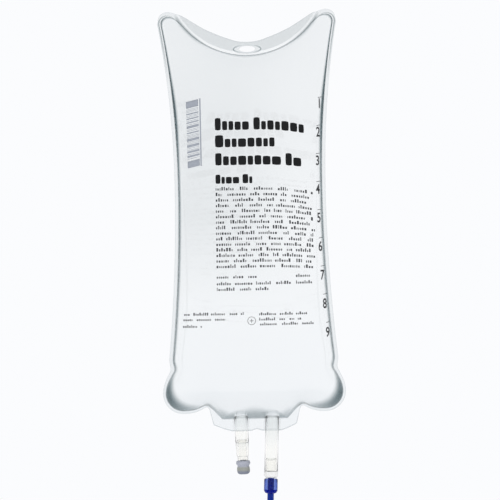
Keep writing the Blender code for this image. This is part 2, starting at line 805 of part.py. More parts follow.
def main():
    """Build every piece of the bag."""
    clear_scene()
    film = material("clear_film", (0.86, 0.89, 0.90), 0.12, 0.95, 1.46)
    saline = material("saline", (0.97, 0.99, 1.0), 0.0, 1.0, 1.333)
    tube_plastic = material("tube_plastic", (0.92, 0.93, 0.93), 0.15, 0.85, 1.46)
    membrane_plastic = material("membrane_plastic", (0.93, 0.94, 0.92), 0.2, 0.6, 1.46)
    rubber = material("port_rubber", (0.36, 0.36, 0.40), 0.55)
    blue = material("protector_blue", (0.012, 0.045, 0.42), 0.25, 0.25, 1.46, 0.1)

    cutter = slot_cutter(film)
    build_film("front_film", -1, film, cutter)
    build_film("back_film", 1, film, cutter)

    injection = port_frame("injection_axis", INJECTION_X, INJECTION_LEAN)
    outlet = port_frame("outlet_axis", OUTLET_X, OUTLET_LEAN)
    build_fluid(saline, injection, outlet)
    build_injection_port(injection, tube_plastic, rubber)
    mouth = build_outlet_port(outlet, tube_plastic, membrane_plastic)
    build_protector(outlet, mouth, blue)
    bpy.context.view_layer.update()


main()
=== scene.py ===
"""The looks of a hanging fluid bag: clear film, fluid, print and ports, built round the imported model.

Units are metres. The origin is the middle of the hanger slot, +Z is up and the printed front faces -Y.
A "drop" is a distance below the hanger slot and a "rise" is one above it.
"""

import logging
import math
import random
from dataclasses import dataclass
from enum import Enum

import bmesh
import bpy
import numpy as np
from mathutils import Matrix, Vector
from mathutils.bvhtree import BVHTree


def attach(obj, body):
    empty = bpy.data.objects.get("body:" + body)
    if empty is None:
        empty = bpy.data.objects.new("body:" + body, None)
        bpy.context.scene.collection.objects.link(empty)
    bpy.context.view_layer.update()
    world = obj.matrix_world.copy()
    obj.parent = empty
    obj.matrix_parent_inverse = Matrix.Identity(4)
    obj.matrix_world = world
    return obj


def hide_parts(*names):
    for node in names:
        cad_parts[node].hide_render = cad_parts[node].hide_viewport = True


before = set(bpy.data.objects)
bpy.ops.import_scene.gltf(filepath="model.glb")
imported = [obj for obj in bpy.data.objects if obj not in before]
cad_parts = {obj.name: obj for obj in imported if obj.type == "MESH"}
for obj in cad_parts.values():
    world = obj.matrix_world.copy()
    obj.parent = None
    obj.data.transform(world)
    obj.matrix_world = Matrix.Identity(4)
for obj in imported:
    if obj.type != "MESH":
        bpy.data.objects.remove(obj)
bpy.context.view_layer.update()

MM = 0.001
log = logging.getLogger("fluid_bag")

Colour = tuple[float, float, float]
Point = tuple[float, float]


class Side(Enum):
    """The two film sheets, as the sign of Y that each lies on."""

    FRONT = -1
    BACK = 1


class Body(Enum):
    """The bodies that a piece rides on."""

    BAG = "bag"
    PROTECTOR = "protector"


class Slot(Enum):
    """The record's material slots."""

    FILM = "film"
    FLUID = "fluid"
    TUBE = "tube"
    MEMBRANE = "membrane"
    RUBBER = "port_rubber"
    PROTECTOR = "protector"


# Curves, as arrays of (x, z) points


def even_points(dense: np.ndarray, count: int) -> np.ndarray:
    """Space points evenly along a densely sampled curve.

    Args:
        dense: The curve's points, close together.
        count: The number of steps.

    Returns:
        count + 1 points.
    """
    dense = np.asarray(dense, float)
    lengths = np.concatenate([[0.0], np.cumsum(np.linalg.norm(np.diff(dense, axis=0), axis=1))])
    places = np.linspace(0.0, lengths[-1], count + 1)
    return np.column_stack([np.interp(places, lengths, dense[:, axis]) for axis in range(2)])


def curve_through(points: list[Point], count: int) -> np.ndarray:
    """Draw a smooth curve through a few points (a Catmull-Rom curve).

    Args:
        points: The points that the curve passes through.
        count: The number of steps.

    Returns:
        count + 1 points at even distances along the curve.
    """
    given = np.array(points, float)
    ends = np.vstack([2 * given[0] - given[1], given, 2 * given[-1] - given[-2]])
    dense = []
    for before, start, end, after in zip(ends, ends[1:], ends[2:], ends[3:]):
        for step in np.linspace(0.0, 1.0, 16, endpoint=False):
            linear = (end - before) * step
            square = (2 * before - 5 * start + 4 * end - after) * step**2
            cube = (3 * start - 3 * end + after - before) * step**3
            dense.append(0.5 * (2 * start + linear + square + cube))
    dense.append(given[-1])
    return even_points(dense, count)


def smooth_step(low: float, high: float, value: np.ndarray) -> np.ndarray:
    """Rise smoothly from 0 at low to 1 at high.

    Args:
        low: The value where the rise starts.
        high: The value where it ends.
        value: The values to map.

    Returns:
        The mapped values.
    """
    share = np.clip((value - low) / (high - low), 0.0, 1.0)
    return share * share * (3.0 - 2.0 * share)


# Materials


class Bench:
    """Builds one node material."""

    def __init__(self, name: str) -> None:
        """Start a material with its Principled shader.

        Args:
            name: The material's name.
        """
        self.material = bpy.data.materials.new(name)
        self.material.use_nodes = True
        self.nodes = self.material.node_tree.nodes
        self.links = self.material.node_tree.links
        self.shader = self.nodes["Principled BSDF"]
        self.output = self.nodes["Material Output"]

    def set(self, **values: float) -> None:
        """Set the shader's sockets, named with underscores for spaces."""
        for name, value in values.items():
            self.shader.inputs[name.replace("_", " ")].default_value = value

    def add(self, kind: str, **settings: object) -> bpy.types.Node:
        """Add a node.

        Args:
            kind: The node's type.
            **settings: Its properties.

        Returns:
            The node.
        """
        node = self.nodes.new(kind)
        for name, value in settings.items():
            setattr(node, name, value)
        return node

    def noise(self, scale: float, detail: float = 3.0, stretch: Colour = (1.0, 1.0, 1.0)) -> bpy.types.Node:
        """Add noise on the object's own coordinates.

        Args:
            scale: The number of blotches in a metre.
            detail: The noise's octaves.
            stretch: The scale along each axis.

        Returns:
            The noise node.
        """
        place = self.add("ShaderNodeTexCoord")
        mapping = self.add("ShaderNodeMapping")
        mapping.inputs["Scale"].default_value = stretch
        grain = self.add("ShaderNodeTexNoise")
        grain.inputs["Scale"].default_value = scale
        grain.inputs["Detail"].default_value = detail
        self.links.new(place.outputs["Object"], mapping.inputs["Vector"])
        self.links.new(mapping.outputs["Vector"], grain.inputs["Vector"])
        return grain

    def height(self, low: float, high: float, first: float = 0.0, last: float = 1.0) -> bpy.types.NodeSocket:
        """Map the object's own height.

        Args:
            low: The lower height.
            high: The upper height.
            first: The value at the lower height and below.
            last: The value at the upper height and above.

        Returns:
            The mapped value's socket.
        """
        place = self.add("ShaderNodeTexCoord")
        split = self.add("ShaderNodeSeparateXYZ")
        share = self.add("ShaderNodeMapRange")
        for name, value in (("From Min", low), ("From Max", high), ("To Min", first), ("To Max", last)):
            share.inputs[name].default_value = value
        self.links.new(place.outputs["Object"], split.inputs["Vector"])
        self.links.new(split.outputs["Z"], share.inputs["Value"])
        return share.outputs["Result"]

    def from_axis(self, place: Matrix, near: float, far: float) -> bpy.types.NodeSocket:
        """Map the distance from a port's axis, from 0 to 1.

        Args:
            place: The port's frame.
            near: The distance at 0.
            far: The distance at 1.

        Returns:
            The mapped value's socket.
        """
        back = place.inverted()
        point = self.add("ShaderNodeTexCoord")
        mapping = self.add("ShaderNodeMapping")
        mapping.inputs["Location"].default_value = back.translation
        mapping.inputs["Rotation"].default_value = back.to_euler()
        flat = self.add("ShaderNodeVectorMath", operation="MULTIPLY")
        flat.inputs[1].default_value = (1.0, 1.0, 0.0)
        length = self.add("ShaderNodeVectorMath", operation="LENGTH")
        share = self.add("ShaderNodeMapRange")
        share.inputs["From Min"].default_value = near
        share.inputs["From Max"].default_value = far
        self.links.new(point.outputs["Object"], mapping.inputs["Vector"])
        self.links.new(mapping.outputs["Vector"], flat.inputs[0])
        self.links.new(flat.outputs["Vector"], length.inputs[0])
        self.links.new(length.outputs["Value"], share.inputs["Value"])
        return share.outputs["Result"]

    def bump(self, height: bpy.types.NodeSocket, distance: float, strength: float = 1.0) -> None:
        """Press a height pattern into the surface.

        Args:
            height: The pattern.
            distance: Its depth in metres.
            strength: How much of it shows.
        """
        node = self.add("ShaderNodeBump")
        node.inputs["Strength"].default_value = strength
        node.inputs["Distance"].default_value = distance
        self.links.new(height, node.inputs["Height"])
        self.links.new(node.outputs["Normal"], self.shader.inputs["Normal"])

    def mix(self, factor: bpy.types.NodeSocket, low: Colour, high: Colour) -> bpy.types.NodeSocket:
        """Mix two colours by a factor.

        Args:
            factor: The socket that runs from 0 to 1.
            low: The colour at 0.
            high: The colour at 1.

        Returns:
            The mixed colour's socket.
        """
        node = self.add("ShaderNodeMix", data_type="RGBA")
        node.inputs["A"].default_value = (*low, 1.0)
        node.inputs["B"].default_value = (*high, 1.0)
        self.links.new(factor, node.inputs["Factor"])
        return node.outputs["Result"]


@dataclass(frozen=True)
class ClearFilm:
    """Soft clear film: nearly white across, with painted slate shade where the bag curls away at its welds, in place of
    the light that the curved film bends.
    """

    clear: Colour = (0.962, 0.972, 0.982)
    # The colour of the painted shade, mixed in by seam_shade.
    slate: Colour = (0.215, 0.280, 0.300)
    roughness: float = 0.02
    ior: float = 1.46
    ripple_scale: float = 60.0
    ripple_depth: float = 0.00003

    def build(self) -> bpy.types.Material:
        """Return the film's material, which mixes in the painted shade by the mesh's own seam_shade."""
        bench = Bench("clear_film")
        bench.set(Roughness=self.roughness, IOR=self.ior, Transmission_Weight=1.0)
        shade = bench.add("ShaderNodeAttribute", attribute_name="seam_shade")
        colour = bench.mix(shade.outputs["Fac"], self.clear, self.slate)
        bench.links.new(colour, bench.shader.inputs["Base Color"])
        ripple = bench.noise(self.ripple_scale, 2.0, (1.0, 1.0, 0.6))
        bench.bump(ripple.outputs["Fac"], self.ripple_depth)
        return bench.material


@dataclass(frozen=True)
class Saline:
    """Water-clear fluid."""

    colour: Colour = (0.985, 0.992, 0.996)
    ior: float = 1.333

    def build(self) -> bpy.types.Material:
        """Return the fluid's material."""
        bench = Bench("saline")
        bench.set(Roughness=0.0, IOR=self.ior, Transmission_Weight=1.0)
        bench.set(Base_Color=(*self.colour, 1.0))
        return bench.material


@dataclass(frozen=True)
class MouldedClear:
    """A clear or milky moulded plastic of a port."""

    name: str
    colour: Colour
    cloud: Colour
    roughness: float
    transmission: float = 1.0
    ior: float = 1.46
    cloud_scale: float = 300.0

    def build(self, clear_above: float | None = None) -> bpy.types.Material:
        """Build the plastic's material, faintly clouded along the extrusion.

        Args:
            clear_above: The height past which a milky piece is clear, if any.

        Returns:
            The material.
        """
        bench = Bench(self.name)
        bench.set(Roughness=self.roughness, IOR=self.ior, Transmission_Weight=self.transmission)
        cloud = bench.noise(self.cloud_scale, 3.0, (1.0, 1.0, 0.25))
        colour = bench.mix(cloud.outputs["Fac"], self.colour, self.cloud)
        bench.links.new(colour, bench.shader.inputs["Base Color"])
        bench.bump(cloud.outputs["Fac"], 0.00002)
        if clear_above is not None:
            height = bench.height(clear_above - 0.5 * MM, clear_above + 0.5 * MM, self.transmission, 1.0)
            bench.links.new(height, bench.shader.inputs["Transmission Weight"])
        return bench.material


@dataclass(frozen=True)
class PortRubber:
    """The injection cap's matt rubber: its own lavender on the collar, and painted shade below it, an olive-grey bulb
    and a darker foot.
    """

    collar: Colour = (0.430, 0.450, 0.522)
    # bulb and foot: painted shade of the rubber, darker towards the bottom.
    bulb: Colour = (0.345, 0.358, 0.326)
    foot: Colour = (0.228, 0.248, 0.308)
    roughness: float = 0.55
    grain_scale: float = 1500.0

    def build(self, top: float, base: float) -> bpy.types.Material:
        """Build the rubber's material.

        Args:
            top: The height of the cap's rim.
            base: The height of its flat face.

        Returns:
            The material.
        """
        bench = Bench("port_rubber")
        bench.set(Roughness=self.roughness)
        ramp = bench.add("ShaderNodeValToRGB")
        # The bulb and foot colours are painted shade, darker towards the bottom; the collar is the rubber's own
        # lavender.
        stops = ((0.0, self.foot), (0.17, self.foot), (0.32, self.bulb), (0.46, self.bulb), (0.60, self.collar))
        elements = ramp.color_ramp.elements
        while len(elements) < len(stops):
            elements.new(0.5)
        for element, (position, colour) in zip(elements, stops):
            element.position = position
            element.color = (*colour, 1.0)
        bench.links.new(bench.height(base, top), ramp.inputs["Fac"])
        bench.links.new(ramp.outputs["Color"], bench.shader.inputs["Base Color"])
        grain = bench.noise(self.grain_scale, 4.0)
        bench.bump(grain.outputs["Fac"], 0.00004)
        return bench.material


@dataclass(frozen=True)
class ProtectorPlastic:
    """Deep blue translucent plastic, lighter in the thin skirt than in the core."""

    core: Colour = (0.12, 0.27, 0.50)
    skirt: Colour = (0.97, 0.98, 1.00)
    core_reach: float = 2.6 * MM
    skirt_reach: float = 3.4 * MM
    roughness: float = 0.18
    stain: Colour = (0.02, 0.22, 0.76)
    stain_density: float = 660.0
    ior: float = 1.30

    def build(self, place: Matrix) -> bpy.types.Material:
        """Build the protector's material, which darkens with its thickness.

        Args:
            place: The outlet port's frame.

        Returns:
            The material.
        """
        bench = Bench("protector_blue")
        bench.set(Roughness=self.roughness, IOR=self.ior, Transmission_Weight=1.0)
        stain = bench.add("ShaderNodeVolumeAbsorption")
        stain.inputs["Color"].default_value = (*self.stain, 1.0)
        stain.inputs["Density"].default_value = self.stain_density
        bench.links.new(stain.outputs["Volume"], bench.output.inputs["Volume"])
        cloud = bench.noise(400.0, 3.0, (1.0, 1.0, 0.3))
        colour = bench.mix(bench.from_axis(place, self.core_reach, self.skirt_reach), self.core, self.skirt)
        bench.links.new(colour, bench.shader.inputs["Base Color"])
        bench.bump(cloud.outputs["Fac"], 0.00002)
        return bench.material


@dataclass(frozen=True)
class PrintInk:
    """Printed ink, a little uneven in its cover."""

    name: str
    colour: Colour
    thin: Colour
    roughness: float = 0.6
    ior: float = 1.28

    def build(self) -> bpy.types.Material:
        """Return the ink's material."""
        bench = Bench(self.name)
        bench.set(Roughness=self.roughness, IOR=self.ior)
        cover = bench.noise(900.0, 4.0)
        colour = bench.mix(cover.outputs["Fac"], self.colour, self.thin)
        bench.links.new(colour, bench.shader.inputs["Base Color"])
        return bench.material


# Mesh helpers


def mesh_object(bm: bmesh.types.BMesh, name: str, finish: bpy.types.Material, angle: float = 35.0) -> bpy.types.Object:
    """Make a linked, smooth-shaded object of a bmesh, which is freed.

    Args:
        bm: The shape, in place.
        name: The object's name.
        finish: Its material.
        angle: The angle in degrees past which an edge stays sharp.

    Returns:
        The object.
    """
    mesh = bpy.data.meshes.new(name)
    bm.to_mesh(mesh)
    bm.free()
    mesh.shade_smooth()
    mesh.set_sharp_from_angle(angle=math.radians(angle))
    mesh.materials.append(finish)
    obj = bpy.data.objects.new(name, mesh)
    bpy.context.scene.collection.objects.link(obj)
    return obj


def turned(profile: list[Point], place: Matrix, sides: int = 64, round_edge: float = 0.0) -> bmesh.types.BMesh:
    """Turn a profile about a port's axis.

    Args:
        profile: (radius, height) points: a closed loop, or one that starts and ends on the axis.
        place: The port's frame.
        sides: The number of sides.
        round_edge: The width of the rounding on sharp corners.

    Returns:
        The closed body, in place.
    """
    bm = bmesh.new()
    verts = [bm.verts.new((radius, 0.0, height)) for radius, height in profile]
    edges = [bm.edges.new(pair) for pair in zip(verts, verts[1:])]
    if profile[0][0] > 0.0:
        edges.append(bm.edges.new((verts[-1], verts[0])))
    bmesh.ops.spin(
        bm, geom=verts + edges, cent=(0, 0, 0), axis=(0, 0, 1), angle=2 * math.pi, steps=sides, use_merge=True
    )
    bmesh.ops.remove_doubles(bm, verts=bm.verts, dist=1e-6)
    bmesh.ops.recalc_face_normals(bm, faces=bm.faces)
    if round_edge > 0.0:
        corners = [edge for edge in bm.edges if edge.calc_face_angle(0.0) > math.radians(30.0)]
        bmesh.ops.bevel(
            bm,
            geom=corners,
            offset=round_edge,
            affect="EDGES",
            segments=3,
            profile=0.5,
            clamp_overlap=True,
            material=-1,
        )
    bmesh.ops.transform(bm, matrix=place, verts=bm.verts)
    return bm


def apply_modifiers(obj: bpy.types.Object) -> None:
    """Replace an object's mesh by the one that its modifiers make."""
    graph = bpy.context.evaluated_depsgraph_get()
    made = bpy.data.meshes.new_from_object(obj.evaluated_get(graph), depsgraph=graph)
    old = obj.data
    obj.modifiers.clear()
    obj.data = made
    made.name = obj.name
    bpy.data.meshes.remove(old)


def cut(obj: bpy.types.Object, cutter: bpy.types.Object, operation: str = "DIFFERENCE") -> None:
    """Join or cut an object with another one, which is removed.

    Args:
        obj: The object to change.
        cutter: The other one.
        operation: DIFFERENCE or UNION.
    """
    modifier = obj.modifiers.new("shape", "BOOLEAN")
    modifier.operation = operation
    modifier.solver = "EXACT"
    modifier.object = cutter
    apply_modifiers(obj)
    mesh = cutter.data
    bpy.data.objects.remove(cutter)
    bpy.data.meshes.remove(mesh)


def hand_over(obj: bpy.types.Object, body: Body, slot: Slot, *nodes: str) -> bpy.types.Object:
    """Give a finished piece its body, and hide the nodes that it stands for.

    Args:
        obj: The piece.
        body: The body that it rides on.
        slot: The record's material slot. Not used.
        *nodes: The nodes that it replaces.

    Returns:
        The piece.
    """
    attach(obj, body.value)
    if nodes:
        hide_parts(*nodes)
    faces = len(obj.data.polygons)
    log.info("%s rides on %s, %d faces, for %s", obj.name, body.value, faces, ", ".join(nodes) or "no node")
    return obj


# The bag


@dataclass
class PortAxis:
    """Where a port's axis crosses the tab, how far it leans, and its tube's radius."""

    x: float
    lean: float
    tube_radius: float = 5.0 * MM
    drop: float = 282.0 * MM

    def x_at(self, drop: float) -> float:
        """Return where the axis is at a given drop."""
        return self.x + (drop - self.drop) * math.tan(math.radians(self.lean))

    def place(self) -> Matrix:
        """Return the port's frame, with -Z pointing out of the bag."""
        return Matrix.Translation((self.x, 0.0, -self.drop)) @ Matrix.Rotation(-math.radians(self.lean), 4, "Y")


@dataclass
class Stretch:
    """One stretch of the outline, with what the film looks like beside its weld.

    line, fade and reach each hold a value for the stretch's start and its end, as painted shade: how dark
    the weld's line is, how dark the film beside it is, and how far in that reaches.
    """

    edge: np.ndarray
    weld: np.ndarray
    inward: tuple[float, float]
    ease: float
    line: Point
    fade: Point
    reach: Point
    second: Point = (0.0, 0.0)

    def rows(self) -> np.ndarray:
        """Return one row for each point but the last: edge, weld, height, inward, line, fade, reach, second."""
        along = np.linspace(0.0, 1.0, len(self.edge))
        inward = self.inward[0] + (self.inward[1] - self.inward[0]) * along**self.ease
        looks = [low + (high - low) * along for low, high in (self.line, self.fade, self.reach, self.second)]
        flat = np.zeros(len(along))
        return np.column_stack([self.edge, self.weld, flat, inward, *looks])[:-1]


@dataclass
class BagShape:
    """The bag's outline and filled shape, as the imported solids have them."""

    injection: PortAxis
    outlet: PortAxis
    film: float = 0.36 * MM
    weld_gap: float = 0.3 * MM
    side_weld: float = 2.9 * MM
    lobe_weld: float = 2.4 * MM
    notch_weld: float = 1.9 * MM
    flap_rise: float = 5.2 * MM
    top_weld_drop: float = 4.9 * MM
    top_weld_radius: float = 62.0 * MM
    ear_half_span: float = 67.1 * MM
    ear_rise: float = 28.9 * MM
    ear_side_rise: float = 19.5 * MM
    ear_weld_width: float = 3.8 * MM
    ear_foot: float = 0.76
    ear_foot_climb: float = 0.91
    ear_tip: float = 0.885
    top_weld_reach: float = 0.73
    waist_half: float = 56.6 * MM
    waist_drop: float = 104.0 * MM
    hip_half: float = 63.3 * MM
    hip_drop: float = 231.0 * MM
    pinch_half: float = 62.3 * MM
    pinch_depth: float = 0.5 * MM
    pinch_drop: float = 239.6 * MM
    lobe_half_span: float = 68.6 * MM
    lobe_drop: float = 257.4 * MM
    lobe_radius: float = 15.3 * MM
    notch_half: float = 36.2 * MM
    notch_drop: float = 267.6 * MM
    tab_top_half: float = 34.5 * MM
    tab_half: float = 31.2 * MM
    tab_side_drop: float = 281.5 * MM
    tab_drop: float = 286.4 * MM
    tab_arch: float = 1.2 * MM
    pouch_half: float = 24.3 * MM
    pouch_drop: float = 276.9 * MM
    top_depth: float = 7.2 * MM
    shoulder_depth: float = 16.8 * MM
    waist_depth: float = 23.8 * MM
    belly_depth: float = 29.0 * MM
    foot_depth: float = 24.2 * MM
    spine_top_drop: float = 23.0 * MM
    belly_drop: float = 205.0 * MM
    spine_foot_drop: float = 257.0 * MM
    sleeve_gap: float = 0.4 * MM
    flange_rows: int = 13
    pillow_rows: int = 40
    inward_blur: int = 24
    cells: tuple[float, ...] = (2.0 * MM, 1.0 * MM, 0.5 * MM)
    rounds: tuple[int, ...] = (2500, 500, 300)
    even_top_drop: float = 40.0 * MM
    rim_reach: float = 1.2 * MM
    # Painted shade on the film, in place of the light that the curved film and the fluid bend: on the flap, the free
    # edges, the welded rim, the tab, the top weld's arc and the weld lines, and an overall shade by drop, darker at the
    # top and on the left.
    flap_shade: float = 0.155
    rim_shade: float = 0.05
    tab_rim_shade: float = 0.24
    weld_shade: float = 0.07
    tab_shade: float = 0.015
    tube_crown: float = 4.2 * MM
    arc_shade: Point = (0.04, 0.36)
    arc_width: Point = (0.5 * MM, 1.25 * MM)
    arc_end: Point = (51.0 * MM, 55.0 * MM)
    swell_drop: float = 45.0 * MM
    swell_span: float = 28.0 * MM
    line_width: float = 1.15 * MM
    line_swell: float = 0.7 * MM
    corner_round: float = 4.0 * MM
    tone_drops: tuple[float, ...] = (0.0, 60.0 * MM, 125.0 * MM, 190.0 * MM)
    tones: tuple[float, ...] = (0.040, 0.036, 0.008, 0.0)
    left_tones: tuple[float, ...] = (0.018, 0.048, 0.078, 0.006)

    def side_half_width(self, drop: float) -> float:
        """Return half the film's width at a height between the ears and the hips."""
        if drop < self.waist_drop:
            share = (self.waist_drop - drop) / (self.waist_drop + self.ear_side_rise)
            return self.waist_half + (self.ear_half_span - self.waist_half) * share**2.1
        share = (drop - self.waist_drop) / (self.hip_drop - self.waist_drop)
        return self.waist_half + (self.hip_half - self.waist_half) * share**2.0

    def side_edge(self, inset: float, count: int) -> np.ndarray:
        """Return the side from under the ear down to the hip, inset from the film's edge."""
        drops = np.linspace(-self.ear_side_rise, self.hip_drop, 80)
        return even_points([(self.side_half_width(drop) - inset, -drop) for drop in drops], count)

    def top_weld(self, count: int) -> np.ndarray:
        """Return the weld's arc from the centre line to the foot of the ear."""
        xs = np.linspace(0.0, self.top_weld_reach * self.ear_half_span, 40)
        sag = self.top_weld_radius - np.sqrt(self.top_weld_radius**2 - xs**2)
        return even_points(np.column_stack([xs, sag - self.top_weld_drop]), count)

    def flap_edge(self, count: int) -> np.ndarray:
        """Return the film's free edge from the centre line up to the ear."""
        span = self.ear_half_span
        rise = self.ear_rise - self.flap_rise
        return curve_through(
            [
                (0.0, self.flap_rise),
                (0.15 * span, self.flap_rise + 0.06 * rise),
                (0.45 * span, self.flap_rise + 0.40 * rise),
                (0.70 * span, self.flap_rise + 0.83 * rise),
                (self.ear_foot * span, self.flap_rise + self.ear_foot_climb * rise),
            ],
            count,
        )

    def ear_edge(self, count: int) -> np.ndarray:
        """Return the film's edge over the ear's tip and down to its side."""
        span = self.ear_half_span
        climb = self.flap_rise + self.ear_foot_climb * (self.ear_rise - self.flap_rise)
        return curve_through(
            [
                (self.ear_foot * span, climb),
                (self.ear_tip * span, self.ear_rise),
                (0.972 * span, self.ear_rise - 0.28 * (self.ear_rise - self.ear_side_rise)),
                (span, self.ear_side_rise),
            ],
            count,
        )

    def ear_weld(self, start: np.ndarray, count: int) -> np.ndarray:
        """Return the weld's arch inside the ear, from where the top weld ends."""
        side_x = self.ear_half_span - self.side_weld
        tip_z = self.ear_rise - self.ear_weld_width
        width = side_x - start[0]
        return curve_through(
            [
                tuple(start),
                (start[0] + 0.46 * width, 0.12 * start[1] + 0.88 * tip_z),
                (start[0] + 0.80 * width, 0.07 * self.ear_side_rise + 0.93 * tip_z),
                (start[0] + 0.97 * width, 0.5 * (tip_z + self.ear_side_rise)),
                (side_x, self.ear_side_rise),
            ],
            count,
        )

    def hip_edge(self, hip_x: float, pinch_x: float, count: int) -> np.ndarray:
        """Return the short curve from the hip in to the pinch."""
        bend_z = -self.hip_drop - 0.4 * (self.pinch_drop - self.hip_drop)
        bend_x = hip_x + 0.1 * (pinch_x - hip_x)
        return curve_through([(hip_x, -self.hip_drop), (bend_x, bend_z), (pinch_x, -self.pinch_drop)], count)

    def lobe_shoulder(self, pinch_x: float, outer_x: float, count: int) -> np.ndarray:
        """Return the curve that swells from the pinch out to the lobe."""
        shares = np.linspace(0.0, 1.0, 32)
        xs = pinch_x + (outer_x - pinch_x) * np.sin(shares * math.pi / 2)
        zs = -self.pinch_drop - (self.lobe_drop - self.pinch_drop) * shares
        return even_points(np.column_stack([xs, zs]), count)

    def lobe_corner(self, inset: float, count: int) -> np.ndarray:
        """Return the quarter circle from the lobe's outermost point round to its lowest one."""
        radius = self.lobe_radius - inset
        turns = np.linspace(0.0, math.pi / 2, 40)
        xs = self.lobe_half_span - self.lobe_radius + radius * np.cos(turns)
        return even_points(np.column_stack([xs, -self.lobe_drop - radius * np.sin(turns)]), count)

    def lobe_floor(self, inset: float, notch_z: float, count: int) -> np.ndarray:
        """Return the curve from the lobe's lowest point up to the notch."""
        start_x = self.lobe_half_span - self.lobe_radius
        start_z = -self.lobe_drop - self.lobe_radius + inset
        shares = np.linspace(0.0, 1.0, 32)
        xs = start_x + (self.notch_half - start_x) * shares
        return even_points(np.column_stack([xs, start_z + (notch_z - start_z) * shares**2.4]), count)

    def tab_side(self, count: int) -> np.ndarray:
        """Return the tab's free side, from the notch down to its corner."""
        top_z = -self.notch_drop - 0.5 * (self.notch_half - self.tab_top_half)
        return curve_through(
            [(self.notch_half, -self.notch_drop), (self.tab_top_half, top_z), (self.tab_half, -self.tab_side_drop)],
            count,
        )

    def pouch_side(self, notch_z: float, count: int) -> np.ndarray:
        """Return the weld's slope from the notch down to the flat floor above the ports."""
        bend_x = 0.55 * self.notch_half + 0.45 * self.pouch_half
        bend_z = 0.62 * notch_z - 0.38 * self.pouch_drop
        return curve_through(
            [(self.notch_half, notch_z), (bend_x, bend_z), (self.pouch_half, -self.pouch_drop)], count
        )

    def half(self) -> list[Stretch]:
        """Return the right half's stretches, from the flap's middle to the tab's corner."""
        weld_top = self.top_weld(30)
        pinch_weld = self.pinch_half - self.side_weld - self.pinch_depth
        hip_weld = self.hip_half - self.side_weld
        lobe_weld = self.lobe_half_span - self.lobe_weld
        notch_z = self.notch_weld - self.notch_drop
        flap, ear, side = (0.0, 0.10), (0.10, 0.13), (0.13, 0.78)
        hip, shoulder, corner = (0.78, 0.80), (0.80, 0.84), (0.84, 0.885)
        floor, pouch = (0.885, 0.92), (0.92, 1.0)
        return [
            Stretch(self.flap_edge(30), weld_top, flap, 1.0, (0.20, 0.30), (0.05, 0.14), (2.0, 2.8)),
            Stretch(
                self.ear_edge(24), self.ear_weld(weld_top[-1], 24), ear, 1.0,
                (0.12, 0.80), (0.05, 0.18), (2.0, 2.5), (0.00, 0.55),
            ),
            Stretch(
                self.side_edge(0.0, 110), self.side_edge(self.side_weld, 110), side, 1.3,
                (1.00, 1.25), (0.18, 0.25), (2.4, 3.0), (0.55, -2.60),
            ),
            Stretch(
                self.hip_edge(self.hip_half, self.pinch_half, 8), self.hip_edge(hip_weld, pinch_weld, 8), hip, 1.0,
                (1.15, 0.95), (0.25, 0.15), (3.0, 2.0),
            ),
            Stretch(
                self.lobe_shoulder(self.pinch_half, self.lobe_half_span, 16),
                self.lobe_shoulder(pinch_weld, lobe_weld, 16), shoulder, 1.0,
                (0.85, 1.05), (0.20, 1.00), (2.0, 8.5),
            ),
            Stretch(
                self.lobe_corner(0.0, 20), self.lobe_corner(self.lobe_weld, 20), corner, 1.0,
                (1.00, 0.50), (1.00, 0.50), (9.0, 11.0),
            ),
            Stretch(
                self.lobe_floor(0.0, -self.notch_drop, 14), self.lobe_floor(self.lobe_weld, notch_z, 14), floor, 1.0,
                (0.50, 0.85), (0.50, 0.05), (11.0, 3.0),
            ),
            Stretch(
                self.tab_side(14), self.pouch_side(notch_z, 14), pouch, 1.0,
                (0.90, 0.45), (-0.35, 0.52), (2.4, 8.5),
            ),
        ]

    def sleeve(self, port: PortAxis) -> np.ndarray:
        """Return (offset, height) pairs of the film over a port's tube, right to left."""
        radius = port.tube_radius + self.sleeve_gap
        foot = curve_through([(1.34, 0.0), (1.19, 0.035), (1.08, 0.13), (1.0, 0.27), (0.924, 0.383)], 8)
        turns = np.radians(np.arange(60.0, 0.0, -7.5))
        right = np.vstack([foot, np.column_stack([np.sin(turns), np.cos(turns)])])
        left = right[::-1] * (-1.0, 1.0)
        return radius * np.vstack([right, [(0.0, 1.0)], left])

    def tab_columns(self) -> np.ndarray:
        """Return one row for each point across the tab, as Stretch.rows gives them, right to left."""
        parts = []
        for port in (self.outlet, self.injection):
            pairs = self.sleeve(port)
            edge_x = port.x_at(self.tab_drop) + pairs[:, 0]
            weld_x = port.x_at(self.pouch_drop) + pairs[:, 0]
            parts.append(np.column_stack([edge_x, np.full(len(pairs), -self.tab_drop), weld_x, pairs[:, 1]]))
        right, left = parts
        arch = curve_through(
            [tuple(right[-1, :2]), (0.5 * (right[-1, 0] + left[0, 0]), self.tab_arch - self.tab_drop),
             tuple(left[0, :2])], 10)[1:-1]
        middle = np.column_stack([arch, np.linspace(right[-1, 2], left[0, 2], 11)[1:-1], np.zeros(len(arch))])
        corners = []
        for side, neighbour in ((1, right[0]), (-1, left[-1])):
            bend = (
                0.45 * side * self.tab_half + 0.55 * neighbour[0],
                -0.62 * self.tab_drop - 0.38 * self.tab_side_drop,
            )
            edge = curve_through([(side * self.tab_half, -self.tab_side_drop), bend, tuple(neighbour[:2])], 8)
            weld = np.linspace(side * self.pouch_half, neighbour[2], 9)
            corners.append(np.column_stack([edge, weld, np.zeros(9)])[:-1])
        across = np.vstack([corners[0], right, middle, left, corners[1][::-1]])
        count = len(across)
        looks = (1.0, 0.40, 0.42, 10.0, 0.0)
        rest = np.tile(looks, (count, 1))
        return np.column_stack([across[:, :3], np.full(count, -self.pouch_drop), across[:, 3], rest])

